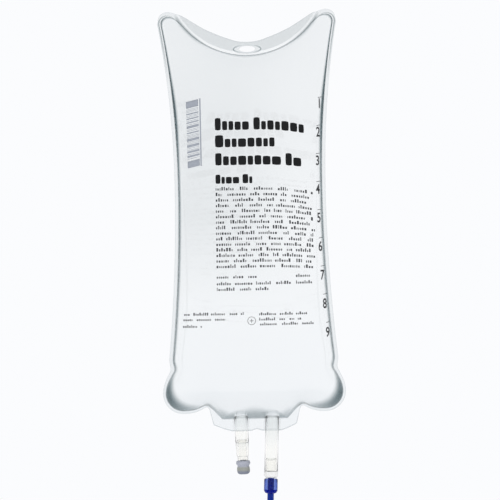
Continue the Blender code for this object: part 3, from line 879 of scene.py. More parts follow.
    def outline(self) -> np.ndarray:
        """Return the whole outline, clockwise from the flap's middle, as Stretch.rows gives it."""
        right = np.vstack([stretch.rows() for stretch in self.half()])
        left = right[:0:-1].copy()
        left[:, (0, 2)] *= -1.0
        rows = np.vstack([right, self.tab_columns(), left])
        rows[:, 0:4] = self.rounded(rows[:, 0:4])
        blur = np.hanning(self.inward_blur + 2)[1:-1]
        blur /= blur.sum()
        pad = self.inward_blur
        for column in (5, 6, 7, 8, 9):
            wrapped = np.concatenate([rows[-pad:, column], rows[:, column], rows[:pad, column]])
            rows[:, column] = np.convolve(wrapped, blur, "same")[pad:-pad]
        return rows

    def rounded(self, places: np.ndarray) -> np.ndarray:
        """Round the corners at the notches and the pinches.

        Args:
            places: The edge's and the weld's (x, z) places.

        Returns:
            The places, with those corners eased.
        """
        blur = np.hanning(9)[1:-1] / np.hanning(9).sum()
        wrapped = np.vstack([places[-3:], places, places[:3]])
        eased = np.column_stack([np.convolve(wrapped[:, axis], blur, "valid") for axis in range(4)])
        x, z = np.abs(places[:, 2]), places[:, 3]
        notch = np.exp(-(((x - self.notch_half) / self.corner_round) ** 2)) * (z < -0.95 * self.notch_drop)
        pinch = np.exp(-(((z + self.pinch_drop) / self.corner_round) ** 2))
        return places + np.maximum(notch, pinch)[:, None] * (eased - places)

    def centre_depth(self, drop: np.ndarray) -> np.ndarray:
        """Return how far the filled bag stands from the middle plane, along its centre line."""
        length = self.spine_foot_drop - self.spine_top_drop
        stations = [0.0, 0.25, 0.52, (self.belly_drop - self.spine_top_drop) / length, 1.0]
        depths = [self.top_depth, self.shoulder_depth, self.waist_depth, self.belly_depth, self.foot_depth]
        curve = curve_through(list(zip(stations, depths)), 60)
        return np.interp((drop - self.spine_top_drop) / length, curve[:, 0], curve[:, 1])

    def inside(self, weld: np.ndarray, xs: np.ndarray, zs: np.ndarray) -> np.ndarray:
        """Mark the cells inside the weld.

        Args:
            weld: The weld's inner edge.
            xs: The cells' places along X.
            zs: The cells' places along Z.

        Returns:
            True for each [z, x] inside.
        """
        after = np.roll(weld, -1, axis=0)
        mask = np.zeros((len(zs), len(xs)), bool)
        for row, z in enumerate(zs):
            crosses = (weld[:, 1] > z) != (after[:, 1] > z)
            start, end = weld[crosses], after[crosses]
            places = start[:, 0] + (z - start[:, 1]) / (end[:, 1] - start[:, 1]) * (end[:, 0] - start[:, 0])
            mask[row] = (xs[:, None] > places[None, :]).sum(axis=1) % 2 == 1
        return mask

    def pressed_out(self, weld: np.ndarray) -> tuple[np.ndarray, np.ndarray, np.ndarray]:
        """Press a film that is held along the weld evenly outwards, from coarse cells to fine ones.

        Args:
            weld: The weld's inner edge.

        Returns:
            The cells' places along X and Z, and the square of the film's height over each [z, x].
        """
        low, high = weld.min(axis=0) - 4 * MM, weld.max(axis=0) + 4 * MM
        xs = zs = bulge = None
        for cell, rounds in zip(self.cells, self.rounds):
            new_xs, new_zs = np.arange(low[0], high[0], cell), np.arange(low[1], high[1], cell)
            if bulge is None:
                started = np.zeros((len(new_zs), len(new_xs)))
            else:
                across = np.array([np.interp(new_xs, xs, row) for row in bulge])
                started = np.array([np.interp(new_zs, zs, column) for column in across.T]).T
            xs, zs, bulge = new_xs, new_zs, started
            mask = self.inside(weld, xs, zs)
            bulge[~mask] = 0.0
            core = mask[1:-1, 1:-1]
            for _ in range(rounds):
                around = bulge[:-2, 1:-1] + bulge[2:, 1:-1] + bulge[1:-1, :-2] + bulge[1:-1, 2:]
                bulge[1:-1, 1:-1] = np.where(core, 0.25 * (around + 2.0 * cell**2), 0.0)
        return xs, zs, bulge

    def weld_distance(self, weld: np.ndarray, plane: np.ndarray) -> np.ndarray:
        """Measure how far points lie from the weld.

        Args:
            weld: The weld's inner edge.
            plane: Points as [ring, column, (x, z)].

        Returns:
            The distance of each.
        """
        span = np.roll(weld, -1, axis=0) - weld
        square = np.maximum((span**2).sum(axis=1), 1e-18)
        nearest = np.full(plane.shape[:2], np.inf)
        for start, along, size in zip(weld, span, square):
            offset = plane - start
            share = np.clip((offset @ along) / size, 0.0, 1.0)
            nearest = np.minimum(nearest, np.linalg.norm(offset - share[..., None] * along, axis=2))
        return nearest

    def pillow_depth(self, weld: np.ndarray, plane: np.ndarray) -> np.ndarray:
        """Work out the filled bag's depth.

        Args:
            weld: The weld's inner edge.
            plane: Points as [ring, column, (x, z)], from the weld inwards.

        Returns:
            The depth of each from the middle plane.
        """
        xs, zs, bulge = self.pressed_out(weld)
        cell = self.cells[-1]
        across = np.clip((plane[..., 0] - xs[0]) / cell, 0, len(xs) - 1.001)
        up = np.clip((plane[..., 1] - zs[0]) / cell, 0, len(zs) - 1.001)
        left, low = across.astype(int), up.astype(int)
        across, up = across - left, up - low
        lower = bulge[low, left] * (1 - across) + bulge[low, left + 1] * across
        upper = bulge[low + 1, left] * (1 - across) + bulge[low + 1, left + 1] * across
        square = lower * (1 - up) + upper * up
        away = self.weld_distance(weld, plane)
        first = np.argmax(away >= self.rim_reach, axis=0)
        columns = np.arange(plane.shape[1])
        slope = square[first, columns] / away[first, columns]
        near = np.arange(plane.shape[0])[:, None] < first
        square = np.where(near, away * slope, square)
        drops = np.linspace(self.even_top_drop, self.spine_foot_drop, 80)
        middle = np.interp(-drops, zs, bulge[:, np.argmin(np.abs(xs))])
        scale = np.interp(-plane[..., 1], drops, self.centre_depth(drops) / np.sqrt(middle))
        return scale * np.sqrt(np.maximum(square, 0.0))

    def rings(self) -> tuple[np.ndarray, np.ndarray]:
        """Work out the film's inner face, from its edge in to the centre line.

        Returns:
            Points as [ring, column, (x, depth, z)], and the shade of each.
        """
        rows = self.outline()
        edge, weld, height, share = rows[:, 0:2], rows[:, 2:4], rows[:, 4], rows[:, 5]
        floor = np.maximum(self.weld_gap / 2, height)
        points, shades = [], []
        for step in np.linspace(0.0, 1.0, self.flange_rows + 1) ** 0.8:
            plane = edge + (weld - edge) * step
            points.append(np.column_stack([plane[:, 0], floor, plane[:, 1]]))
            shades.append(self.flange_shade(rows, plane))
        spine_z = -(self.spine_top_drop + share * (self.spine_foot_drop - self.spine_top_drop))
        spine = np.column_stack([np.zeros(len(share)), spine_z])
        steps = np.linspace(0.0, 1.0, self.pillow_rows + 1)[1:] ** 2.2
        planes = weld + (spine - weld) * steps[:, None, None]
        for plane, depth in zip(planes, self.pillow_depth(weld, planes)):
            points.append(np.column_stack([plane[:, 0], np.maximum(floor, depth), plane[:, 1]]))
            shades.append(self.pillow_shade(rows, plane))
        return np.array(points), np.clip(np.array(shades), 0.0, 1.0)

    def flange_shade(self, rows: np.ndarray, plane: np.ndarray) -> np.ndarray:
        """Paint shade on the welded rim, its free edges and the flap, in place of the light that the curved film bends.

        Args:
            rows: The outline's rows.
            plane: The points' (x, z) places.

        Returns:
            The shade of each point.
        """
        width = np.linalg.norm(rows[:, 0:2] - rows[:, 2:4], axis=1)
        away = np.linalg.norm(rows[:, 2:4] - plane, axis=1)
        line = rows[:, 6] * np.exp(-((away / (0.35 * MM)) ** 2)) * self.clear_of_tubes(plane)
        second = np.maximum(0.0, rows[:, 9]) * np.exp(-(((away - 1.7 * MM) / (0.45 * MM)) ** 2))
        above_arc = self.above_arc(plane)
        flap = self.flap_shade * smooth_step(2.1 * MM, 2.8 * MM, above_arc)
        on_tab = rows[:, 1] < -self.notch_drop
        on_tab &= np.abs(rows[:, 0]) < self.notch_half
        rim = np.where(on_tab, self.tab_rim_shade, self.rim_shade)
        rim = rim * np.exp(-(((width - away) / (0.4 * MM)) ** 2))
        welded = np.where(on_tab, self.tab_shade, self.weld_shade) * smooth_step(0.4 * MM, 1.0 * MM, away)
        welded *= self.clear_of_tubes(plane) * (above_arc < 0.0)
        return np.maximum(line, self.arc(plane)) + second + flap + rim + welded

    def above_arc(self, plane: np.ndarray) -> np.ndarray:
        """Return how far points lie above the top weld's arc."""
        middle = self.top_weld_radius - self.top_weld_drop
        return self.top_weld_radius - np.hypot(plane[:, 0], plane[:, 1] - middle)

    def arc(self, plane: np.ndarray) -> np.ndarray:
        """Paint shade along the top weld's arc, which is fine in the middle, broad beside the ears and crosses into
        them.

        Args:
            plane: The points' (x, z) places.

        Returns:
            The shade of each point.
        """
        x = np.abs(plane[:, 0])
        share = smooth_step(20.0 * MM, 44.0 * MM, x)
        width = self.arc_width[0] + (self.arc_width[1] - self.arc_width[0]) * share
        shade = self.arc_shade[0] + (self.arc_shade[1] - self.arc_shade[0]) * share
        return shade * np.exp(-((self.above_arc(plane) / width) ** 2)) * (1.0 - smooth_step(*self.arc_end, x))

    def pillow_shade(self, rows: np.ndarray, plane: np.ndarray) -> np.ndarray:
        """Paint shade on the film on the filled side, in place of the light that the filled bag bends: beside the weld,
        and a little all over, most at the top and on the left.

        Args:
            rows: The outline's rows.
            plane: The points' (x, z) places.

        Returns:
            The shade of each point.
        """
        inside = np.linalg.norm(plane - rows[:, 2:4], axis=1)
        drop, left = -plane[:, 1], 1.0 - smooth_step(-22.0 * MM, 42.0 * MM, plane[:, 0])
        swell = np.exp(-(((drop - self.swell_drop) / self.swell_span) ** 2))
        width = self.line_width + self.line_swell * swell
        line = rows[:, 6] * (1.0 + 0.5 * swell) * np.exp(-((inside / width) ** 2))
        fade = rows[:, 7] * (1.0 - smooth_step(0.2, 1.0, inside / (rows[:, 8] * MM)))
        # Painted shade all over, darker at the top and on the left, as the filled bag is lit.
        overall_shade = np.interp(drop, self.tone_drops, self.tones) + left * np.interp(drop, self.tone_drops, self.left_tones)
        overall_shade *= smooth_step(0.5 * MM, 4.0 * MM, inside)
        return (np.maximum(line, fade) + overall_shade + self.arc(plane)) * self.clear_of_tubes(plane)

    def clear_of_tubes(self, plane: np.ndarray) -> np.ndarray:
        """Clear the painted shade off the film over the port tubes, with a rounded crown above each.

        Args:
            plane: The points' (x, z) places.

        Returns:
            0 over a tube, rising to 1 beside it.
        """
        clear = np.ones(len(plane))
        for port in (self.injection, self.outlet):
            across = (plane[:, 0] - port.x_at(-plane[:, 1])) / (port.tube_radius + self.sleeve_gap)
            up = np.maximum(0.0, plane[:, 1] + self.pouch_drop) / self.tube_crown
            clear *= smooth_step(0.80, 1.12, np.sqrt(across**4 + up**2))
        return clear


def sheet_bmesh(points: np.ndarray, shades: np.ndarray, side: Side) -> bmesh.types.BMesh:
    """Lay a grid over rings of points, closed along the centre line.

    Args:
        points: Points as [ring, column, (x, depth, z)].
        shades: The shade of each.
        side: The sheet.

    Returns:
        The sheet, with its shades as the layer seam_shade.
    """
    rings, columns = points.shape[:2]
    bm = bmesh.new()
    bmesh.ops.create_grid(bm, x_segments=columns, y_segments=rings - 1, size=1.0)
    layer = bm.verts.layers.float.new("seam_shade")
    bm.verts.ensure_lookup_table()
    for index, vert in enumerate(bm.verts):
        ring, column = divmod(index, columns + 1)
        x, depth, z = points[ring, column % columns]
        vert.co = (x, side.value * depth, z)
        vert[layer] = shades[ring, column % columns]
    bmesh.ops.remove_doubles(bm, verts=bm.verts, dist=1e-6)
    bmesh.ops.dissolve_degenerate(bm, edges=bm.edges, dist=1e-6)
    bmesh.ops.recalc_face_normals(bm, faces=bm.faces)
    if sum(face.normal.y * face.calc_area() for face in bm.faces) * side.value < 0:
        bmesh.ops.reverse_faces(bm, faces=bm.faces)
    return bm


@dataclass
class FilmSheets:
    """The two film sheets, with the hanger slot and its embossed eyelet."""

    shape: BagShape
    rings: tuple[np.ndarray, np.ndarray]
    slot_width: float = 11.8 * MM
    slot_height: float = 4.6 * MM
    eyelet_width: float = 21.5 * MM
    eyelet_height: float = 6.9 * MM
    bead: float = 0.9 * MM
    proud: float = 0.4 * MM
    slot_sides: int = 64
    # Painted shade on the bead, at its middle and at its ends.
    bead_shade: Point = (0.20, 0.85)

    def ellipse(self, width: float, height: float, inset: float, y: float) -> list[Vector]:
        """Return the points of an ellipse moved inwards along its normals, at a depth."""
        points = []
        for index in range(self.slot_sides):
            turn = 2 * math.pi * index / self.slot_sides
            x, z = width / 2 * math.cos(turn), height / 2 * math.sin(turn)
            normal = Vector((x / width**2, 0.0, z / height**2)).normalized()
            points.append(Vector((x - normal.x * inset, y, z - normal.z * inset)))
        return points

    def eyelet(self, side: Side, finish: bpy.types.Material) -> bpy.types.Object:
        """Build the embossed bead round the slot.

        Args:
            side: The sheet that it belongs to.
            finish: The film's material.

        Returns:
            The bead, sunk a little into the film.
        """
        face = self.shape.weld_gap / 2 + self.shape.film
        low, shoulder = face - 0.6 * self.shape.film, face + 0.3 * self.proud
        section = [(0.0, low), (0.0, shoulder)]
        for turn in np.radians(np.arange(15.0, 180.0, 30.0)):
            section.append((self.bead / 2 * (1 - math.cos(turn)), face + self.proud * (0.3 + 0.7 * math.sin(turn))))
        section += [(self.bead, shoulder), (self.bead, low), (0.0, low)]
        size = self.eyelet_width, self.eyelet_height
        rings = np.array([[tuple(point) for point in self.ellipse(*size, *place)] for place in section])
        bm = sheet_bmesh(rings, np.zeros(rings.shape[:2]), side)
        bmesh.ops.recalc_face_normals(bm, faces=bm.faces)
        return mesh_object(bm, "eyelet", finish)

    def tint_eyelet(self, sheet: bpy.types.Object, side: Side) -> None:
        """Paint shade on the bead and the film inside it, darkest at the two ends.

        Args:
            sheet: The sheet, with its bead and slot.
            side: Which sheet it is.
        """
        face = self.shape.weld_gap / 2 + self.shape.film
        shades = sheet.data.attributes["seam_shade"].data
        for vert, shade in zip(sheet.data.vertices, shades):
            end = abs(2 * vert.co.x / self.eyelet_width)
            if math.hypot(end, 2 * vert.co.z / self.eyelet_height) < 1.03:
                raised = side.value * vert.co.y > face + 0.05 * self.proud
                low, high = self.bead_shade
                shade.value = low + (high - low) * end**3 if raised else 0.6 * self.shape.flap_shade

    def slot_cutter(self, finish: bpy.types.Material) -> bpy.types.Object:
        """Return the lens-shaped slot as a prism through both sheets."""
        reach = self.shape.weld_gap / 2 + self.shape.film + 2 * self.proud
        bm = bmesh.new()
        rim = bmesh.ops.create_circle(bm, cap_ends=True, segments=self.slot_sides, radius=1.0)["verts"]
        for vert, point in zip(rim, self.ellipse(self.slot_width, self.slot_height, 0.0, -reach)):
            vert.co = point
        moved = bmesh.ops.extrude_face_region(bm, geom=bm.faces[:])["geom"]
        raised = [item for item in moved if isinstance(item, bmesh.types.BMVert)]
        bmesh.ops.translate(bm, vec=(0.0, 2 * reach, 0.0), verts=raised)
        bmesh.ops.recalc_face_normals(bm, faces=bm.faces)
        return mesh_object(bm, "slot", finish)

    def build(self, side: Side, finish: bpy.types.Material) -> bpy.types.Object:
        """Build one sheet.

        Args:
            side: The sheet.
            finish: The film's material.

        Returns:
            The finished piece.
        """
        bm = sheet_bmesh(*self.rings, side)
        name = f"{side.name.lower()}_sheet"
        sheet = mesh_object(bm, name, finish, 60.0)
        wall = sheet.modifiers.new("film", "SOLIDIFY")
        wall.thickness = self.shape.film
        wall.offset = 1.0
        wall.use_even_offset = False
        apply_modifiers(sheet)
        cut(sheet, self.eyelet(side, finish), "UNION")
        cut(sheet, self.slot_cutter(finish))
        self.tint_eyelet(sheet, side)
        sheet.data.set_sharp_from_angle(angle=math.radians(50.0))
        return hand_over(sheet, Body.BAG, Slot.FILM, f"{side.name.lower()}_film")


@dataclass(frozen=True)
class Patch:
    """A small field of ink: its middle, its size, how far its right end climbs, and its fineness."""

    x: float
    z: float
    width: float
    height: float
    climb: float = 0.0
    steps: tuple[int, int] = (1, 1)
    roundness: float = 0.0


@dataclass
class FrontPrint:
    """The print on the front sheet: blocks in place of words, plain bars, and a numbered scale."""

    sheet: bpy.types.Object
    shape: BagShape
    proud: float = 0.03 * MM
    ink: float = 0.05 * MM
    margin: float = -25.4 * MM
    margin_drift: float = 0.0080
    margin_drop: float = 60.0 * MM
    sag_from: float = 5.0 * MM
    sag_to: float = 52.0 * MM
    seed: int = 7

    def __post_init__(self) -> None:
        """Ready the sheet's surface and the random widths."""
        self.surface = BVHTree.FromObject(self.sheet, bpy.context.evaluated_depsgraph_get())
        self.chance = random.Random(self.seed)

    def on_film(self, x: float, z: float) -> Vector:
        """Return the point just proud of the front sheet at a place."""
        hit = self.surface.ray_cast(Vector((x, -0.2, z)), Vector((0.0, 1.0, 0.0)))[0]
        return Vector((x, hit.y - self.proud, z))

    def finish(self, bm: bmesh.types.BMesh, name: str, material: bpy.types.Material) -> bpy.types.Object:
        """Give the ink its thickness, facing forwards, and hand the piece over.

        Args:
            bm: The ink's face, on the film.
            name: The piece's name.
            material: The ink.

        Returns:
            The finished piece.
        """
        bm.normal_update()
        bmesh.ops.reverse_faces(bm, faces=[face for face in bm.faces if face.normal.y > 0.0])
        obj = mesh_object(bm, name, material)
        wall = obj.modifiers.new("ink", "SOLIDIFY")
        wall.thickness = self.ink
        wall.offset = 1.0
        apply_modifiers(obj)
        return hand_over(obj, Body.BAG, Slot.FILM)

    def press(self, bm: bmesh.types.BMesh, patches: list[Patch], sag: float = 0.0) -> None:
        """Lay patches of ink on the film.

        Args:
            bm: The mesh that they are added to.
            patches: The patches.
            sag: How far a line's right end hangs down.
        """
        for patch in patches:
            grid = bmesh.ops.create_grid(bm, x_segments=patch.steps[0], y_segments=patch.steps[1], size=1.0)
            for vert in grid["verts"]:
                u, v = vert.co.x, vert.co.y
                across = u * math.sqrt(1.0 - patch.roundness * v * v / 2)
                up = v * math.sqrt(1.0 - patch.roundness * u * u / 2)
                x = patch.x + across * patch.width / 2
                z = patch.z + up * patch.height / 2 + patch.climb * across / 2
                share = max(0.0, (x - self.sag_from) / (self.sag_to - self.sag_from))
                vert.co = self.on_film(x, z - sag * share**2)

    def left(self, z: float) -> float:
        """Return the text's left margin at a height."""
        return self.margin + self.margin_drift * (z + self.margin_drop)

    def bold_line(self, z: float, length: float, height: float, breaks: tuple[float, ...]) -> list[Patch]:
        """Set a bold line as rounded blocks.

        Args:
            z: The height of its foot.
            length: Its length.
            height: The height of its tall blocks.
            breaks: Shares of the length where a gap falls between words.

        Returns:
            The patches.
        """
        patches = []
        x = self.left(z)
        end = x + length
        gaps = [x + share * length for share in breaks]
        tall = True
        while x < end - 0.25 * height:
            width = min(height * self.chance.uniform(0.36, 0.74), end - x)
            rise = height * (1.0 if tall else self.chance.uniform(0.68, 0.78))
            patches.append(Patch(x + width / 2, z + rise / 2, width, rise, 0.0, (4, 5), 0.38))
            x += width + 0.10 * height
            tall = bool(gaps) and x > gaps[0]
            if tall:
                x += 0.26 * height
                gaps.pop(0)
        return patches

    def fine_line(self, x: float, z: float, length: float, height: float) -> list[Patch]:
        """Set a fine line as short dashes of ink, in words.

        Args:
            x: Its start.
            z: The height of its middle.
            length: Its length.
            height: The height of its dashes.

        Returns:
            The patches.
        """
        patches = []
        end = x + length
        left_in_word = self.chance.randint(3, 9)
        while x < end:
            width = height * self.chance.uniform(0.20, 0.50)
            rise = height * self.chance.choice((0.55, 0.55, 0.62, 0.92))
            patches.append(Patch(x + width / 2, z + (rise - height) / 2, width, rise))
            x += width + 0.25 * height
            left_in_word -= 1
            if left_in_word == 0:
                x += height * self.chance.uniform(0.7, 1.6)
                left_in_word = self.chance.randint(3, 9)
        return patches

    def title(self) -> bpy.types.Object:
        """Print the bold lines."""
        ink = PrintInk("title_ink", (0.006, 0.007, 0.008), (0.016, 0.017, 0.018)).build()
        bm = bmesh.new()
        self.press(bm, self.bold_line(-61.0 * MM, 66.5 * MM, 9.3 * MM, (0.37,)), 5.8 * MM)
        self.press(bm, self.bold_line(-73.8 * MM, 45.5 * MM, 9.2 * MM, ()), 2.8 * MM)
        self.press(bm, self.bold_line(-87.3 * MM, 64.5 * MM, 9.3 * MM, (0.66,)), 4.2 * MM)
        self.press(bm, self.bold_line(-101.0 * MM, 27.5 * MM, 6.9 * MM, (0.56,)))
        return self.finish(bm, "title_print", ink)

    def small_print(self) -> bpy.types.Object:
        """Print the fine lines, and the plain ring between the two foot blocks."""
        ink = PrintInk("fine_ink", (0.020, 0.022, 0.026), (0.11, 0.114, 0.122)).build()
        bm = bmesh.new()
        for row in range(15):
            z = -(104.6 + 4.13 * row) * MM
            length = 73.2 * MM * self.chance.uniform(0.965, 1.0)
            self.press(bm, self.fine_line(self.left(z), z, length, 2.8 * MM), (5.5 - 0.24 * row) * MM)
        for x, z, length in ((0.0, -170.3, 31.8), (59.0, -170.3, 14.0), (0.0, -175.3, 70.0), (0.0, -179.5, 39.0)):
            self.press(bm, self.fine_line(self.left(z * MM) + x * MM, z * MM, length * MM, 2.6 * MM))
        for x, z, length in ((-51.2, -197.7, 44.0), (-51.9, -201.7, 31.0), (-52.2, -206.7, 14.0)):
            self.press(bm, self.fine_line(x * MM, z * MM, length * MM, 2.3 * MM))
        for x, z, length in ((4.7, -198.3, 36.0), (4.7, -202.2, 31.0), (5.2, -205.8, 39.0)):
            self.press(bm, self.fine_line(x * MM, z * MM, length * MM, 2.3 * MM))
        rings = []
        for radius in (3.1 * MM, 2.75 * MM):
            ring = bmesh.ops.create_circle(bm, segments=40, radius=radius)["verts"]
            for vert in ring:
                vert.co = self.on_film(vert.co.x - 1.0 * MM, vert.co.y - 203.4 * MM)
            rings += list({edge for vert in ring for edge in vert.link_edges})
        bmesh.ops.bridge_loops(bm, edges=rings)
        for width, height in ((2.9, 0.4), (0.4, 2.9)):
            self.press(bm, [Patch(-1.0 * MM, -203.4 * MM, width * MM, height * MM, 0.0, (2, 2))])
        return self.finish(bm, "small_print", ink)

    def bars(self) -> bpy.types.Object:
        """Print the upright block of slanted bars, with its side rule."""
        ink = PrintInk("bar_ink", (0.33, 0.362, 0.42), (0.42, 0.448, 0.50)).build()
        bm = bmesh.new()
        middle, width, climb = -42.1 * MM, 9.1 * MM, 2.0 * MM
        top, foot, block = -38.1 * MM, -87.9 * MM, 5.1 * MM
        rule, rule_top, rule_foot = -36.2 * MM, -36.6 * MM, -87.2 * MM
        patches = [
            Patch(middle, top - block / 2, width, block, climb, (8, 2)),
            Patch(middle + 0.4 * MM, foot + block / 2, width, block, climb, (8, 2)),
            Patch(rule, 0.5 * (rule_top + rule_foot), 1.0 * MM, rule_top - rule_foot, 0.0, (1, 40)),
        ]
        z = top - block - 0.8 * MM
        until_bold = 4
        while z > foot + block + 1.2 * MM:
            until_bold -= 1
            height = (0.34 if until_bold else self.chance.choice((1.0, 1.5, 1.9))) * MM
            drift = 0.4 * MM * (top - z) / (top - foot)
            patches.append(Patch(middle + drift, z - height / 2, width, height, climb, (8, 1)))
            z -= height + self.chance.choice((0.55, 0.65, 0.85)) * MM
            if until_bold == 0:
                until_bold = self.chance.randint(2, 4)
        self.press(bm, patches)
        return self.finish(bm, "bar_print", ink)

    def scale(self) -> bpy.types.Object:
        """Print the plain numbers and ticks down the right side."""
        ink = PrintInk("scale_ink", (0.045, 0.046, 0.050), (0.09, 0.092, 0.098)).build()
        bm = bmesh.new()
        for number in range(1, 10):
            z = -(42.4 + 21.4 * (number - 1)) * MM
            x = self.shape.side_half_width(-z) - self.shape.side_weld - 3.0 * MM
            letter = bpy.data.curves.new("number", "FONT")
            letter.body = str(number)
            letter.size = 10.2 * MM
            letter.offset = 0.20 * MM
            letter.align_x = "CENTER"
            letter.align_y = "CENTER"
            holder = bpy.data.objects.new("number", letter)
            bpy.context.scene.collection.objects.link(holder)
            graph = bpy.context.evaluated_depsgraph_get()
            flat = bpy.data.meshes.new_from_object(holder.evaluated_get(graph), depsgraph=graph)
            flat.transform(Matrix.Translation((x, z, 0.0)) @ Matrix.Diagonal((0.58, 1.0, 1.0, 1.0)))
            before = len(bm.verts)
            bm.from_mesh(flat)
            bm.verts.ensure_lookup_table()
            for vert in bm.verts[before:]:
                vert.co = self.on_film(vert.co.x, vert.co.y)
            bpy.data.objects.remove(holder)
            bpy.data.curves.remove(letter)
            bpy.data.meshes.remove(flat)
            self.press(bm, [Patch(x + 0.4 * MM, z + (4.6 + 0.35 * number) * MM, 2.8 * MM, 0.45 * MM, 0.5 * MM, (3, 1))])
        bmesh.ops.remove_doubles(bm, verts=bm.verts, dist=1e-6)
        return self.finish(bm, "scale_print", ink)

    def build(self) -> None:
        """Print everything."""
        self.title()
        self.small_print()
        self.bars()
        self.scale()


@dataclass
class FluidFill:
    """The fluid: a closed pillow just inside the film, cut clear of the port tubes."""

    shape: BagShape
    rings: tuple[np.ndarray, np.ndarray]
    rim_inset: float = 0.7 * MM
    gap: float = 0.25 * MM
    column_rise: float = 4.0 * MM
    room_foot: float = -12.0 * MM

    def half(self, points: np.ndarray, side: Side) -> bmesh.types.BMesh:
        """Build the fluid's front or back.

        Args:
            points: The film's inner face from the weld inwards.
            side: The side that it lies on.

        Returns:
            The open half, with its rim on the middle plane.
        """
        rim = points[0]
        along = np.roll(rim, -1, axis=0) - np.roll(rim, 1, axis=0)
        along /= np.linalg.norm(along[:, (0, 2)], axis=1)[:, None]
        moved = points.copy()
        moved[0] = np.column_stack(
            [rim[:, 0] + self.rim_inset * along[:, 2], np.zeros(len(rim)), rim[:, 2] - self.rim_inset * along[:, 0]]
        )
        bm = sheet_bmesh(moved, np.zeros(moved.shape[:2]), side)
        bm.normal_update()
        moves = [(vert, vert.normal.copy()) for vert in bm.verts if not vert.is_boundary]
        for vert, normal in moves:
            vert.co -= self.gap * normal
        return bm

    def build(self, finish: bpy.types.Material, ports: "Ports") -> bpy.types.Object:
        """Build the fluid.

        Args:
            finish: The fluid's material.
            ports: The ports, whose tubes it runs round and into.

        Returns:
            The finished piece.
        """
        inner = self.rings[0][self.shape.flange_rows:]
        joined = bmesh.new()
        for side in Side:
            half = self.half(inner, side)
            carrier = bpy.data.meshes.new("fluid_half")
            half.to_mesh(carrier)
            half.free()
            joined.from_mesh(carrier)
            bpy.data.meshes.remove(carrier)
        bmesh.ops.remove_doubles(joined, verts=joined.verts, dist=1e-6)
        fluid = mesh_object(joined, "fluid_fill", finish, 60.0)
        for axis, top, bore, floor in ports.wells():
            outer = axis.tube_radius + self.gap
            room = [(0.0, top + self.gap), (outer, top + self.gap), (outer, self.room_foot), (0.0, self.room_foot)]
            cut(fluid, mesh_object(turned(room, axis.place()), "room", finish))
            inside = bore - self.gap
            high = top + self.column_rise
            column = [(0.0, high), (inside, high), (inside, floor + self.gap), (0.0, floor + self.gap)]
            cut(fluid, mesh_object(turned(column, axis.place()), "column", finish), "UNION")
        return hand_over(fluid, Body.BAG, Slot.FLUID, "saline_fluid")


# Ports


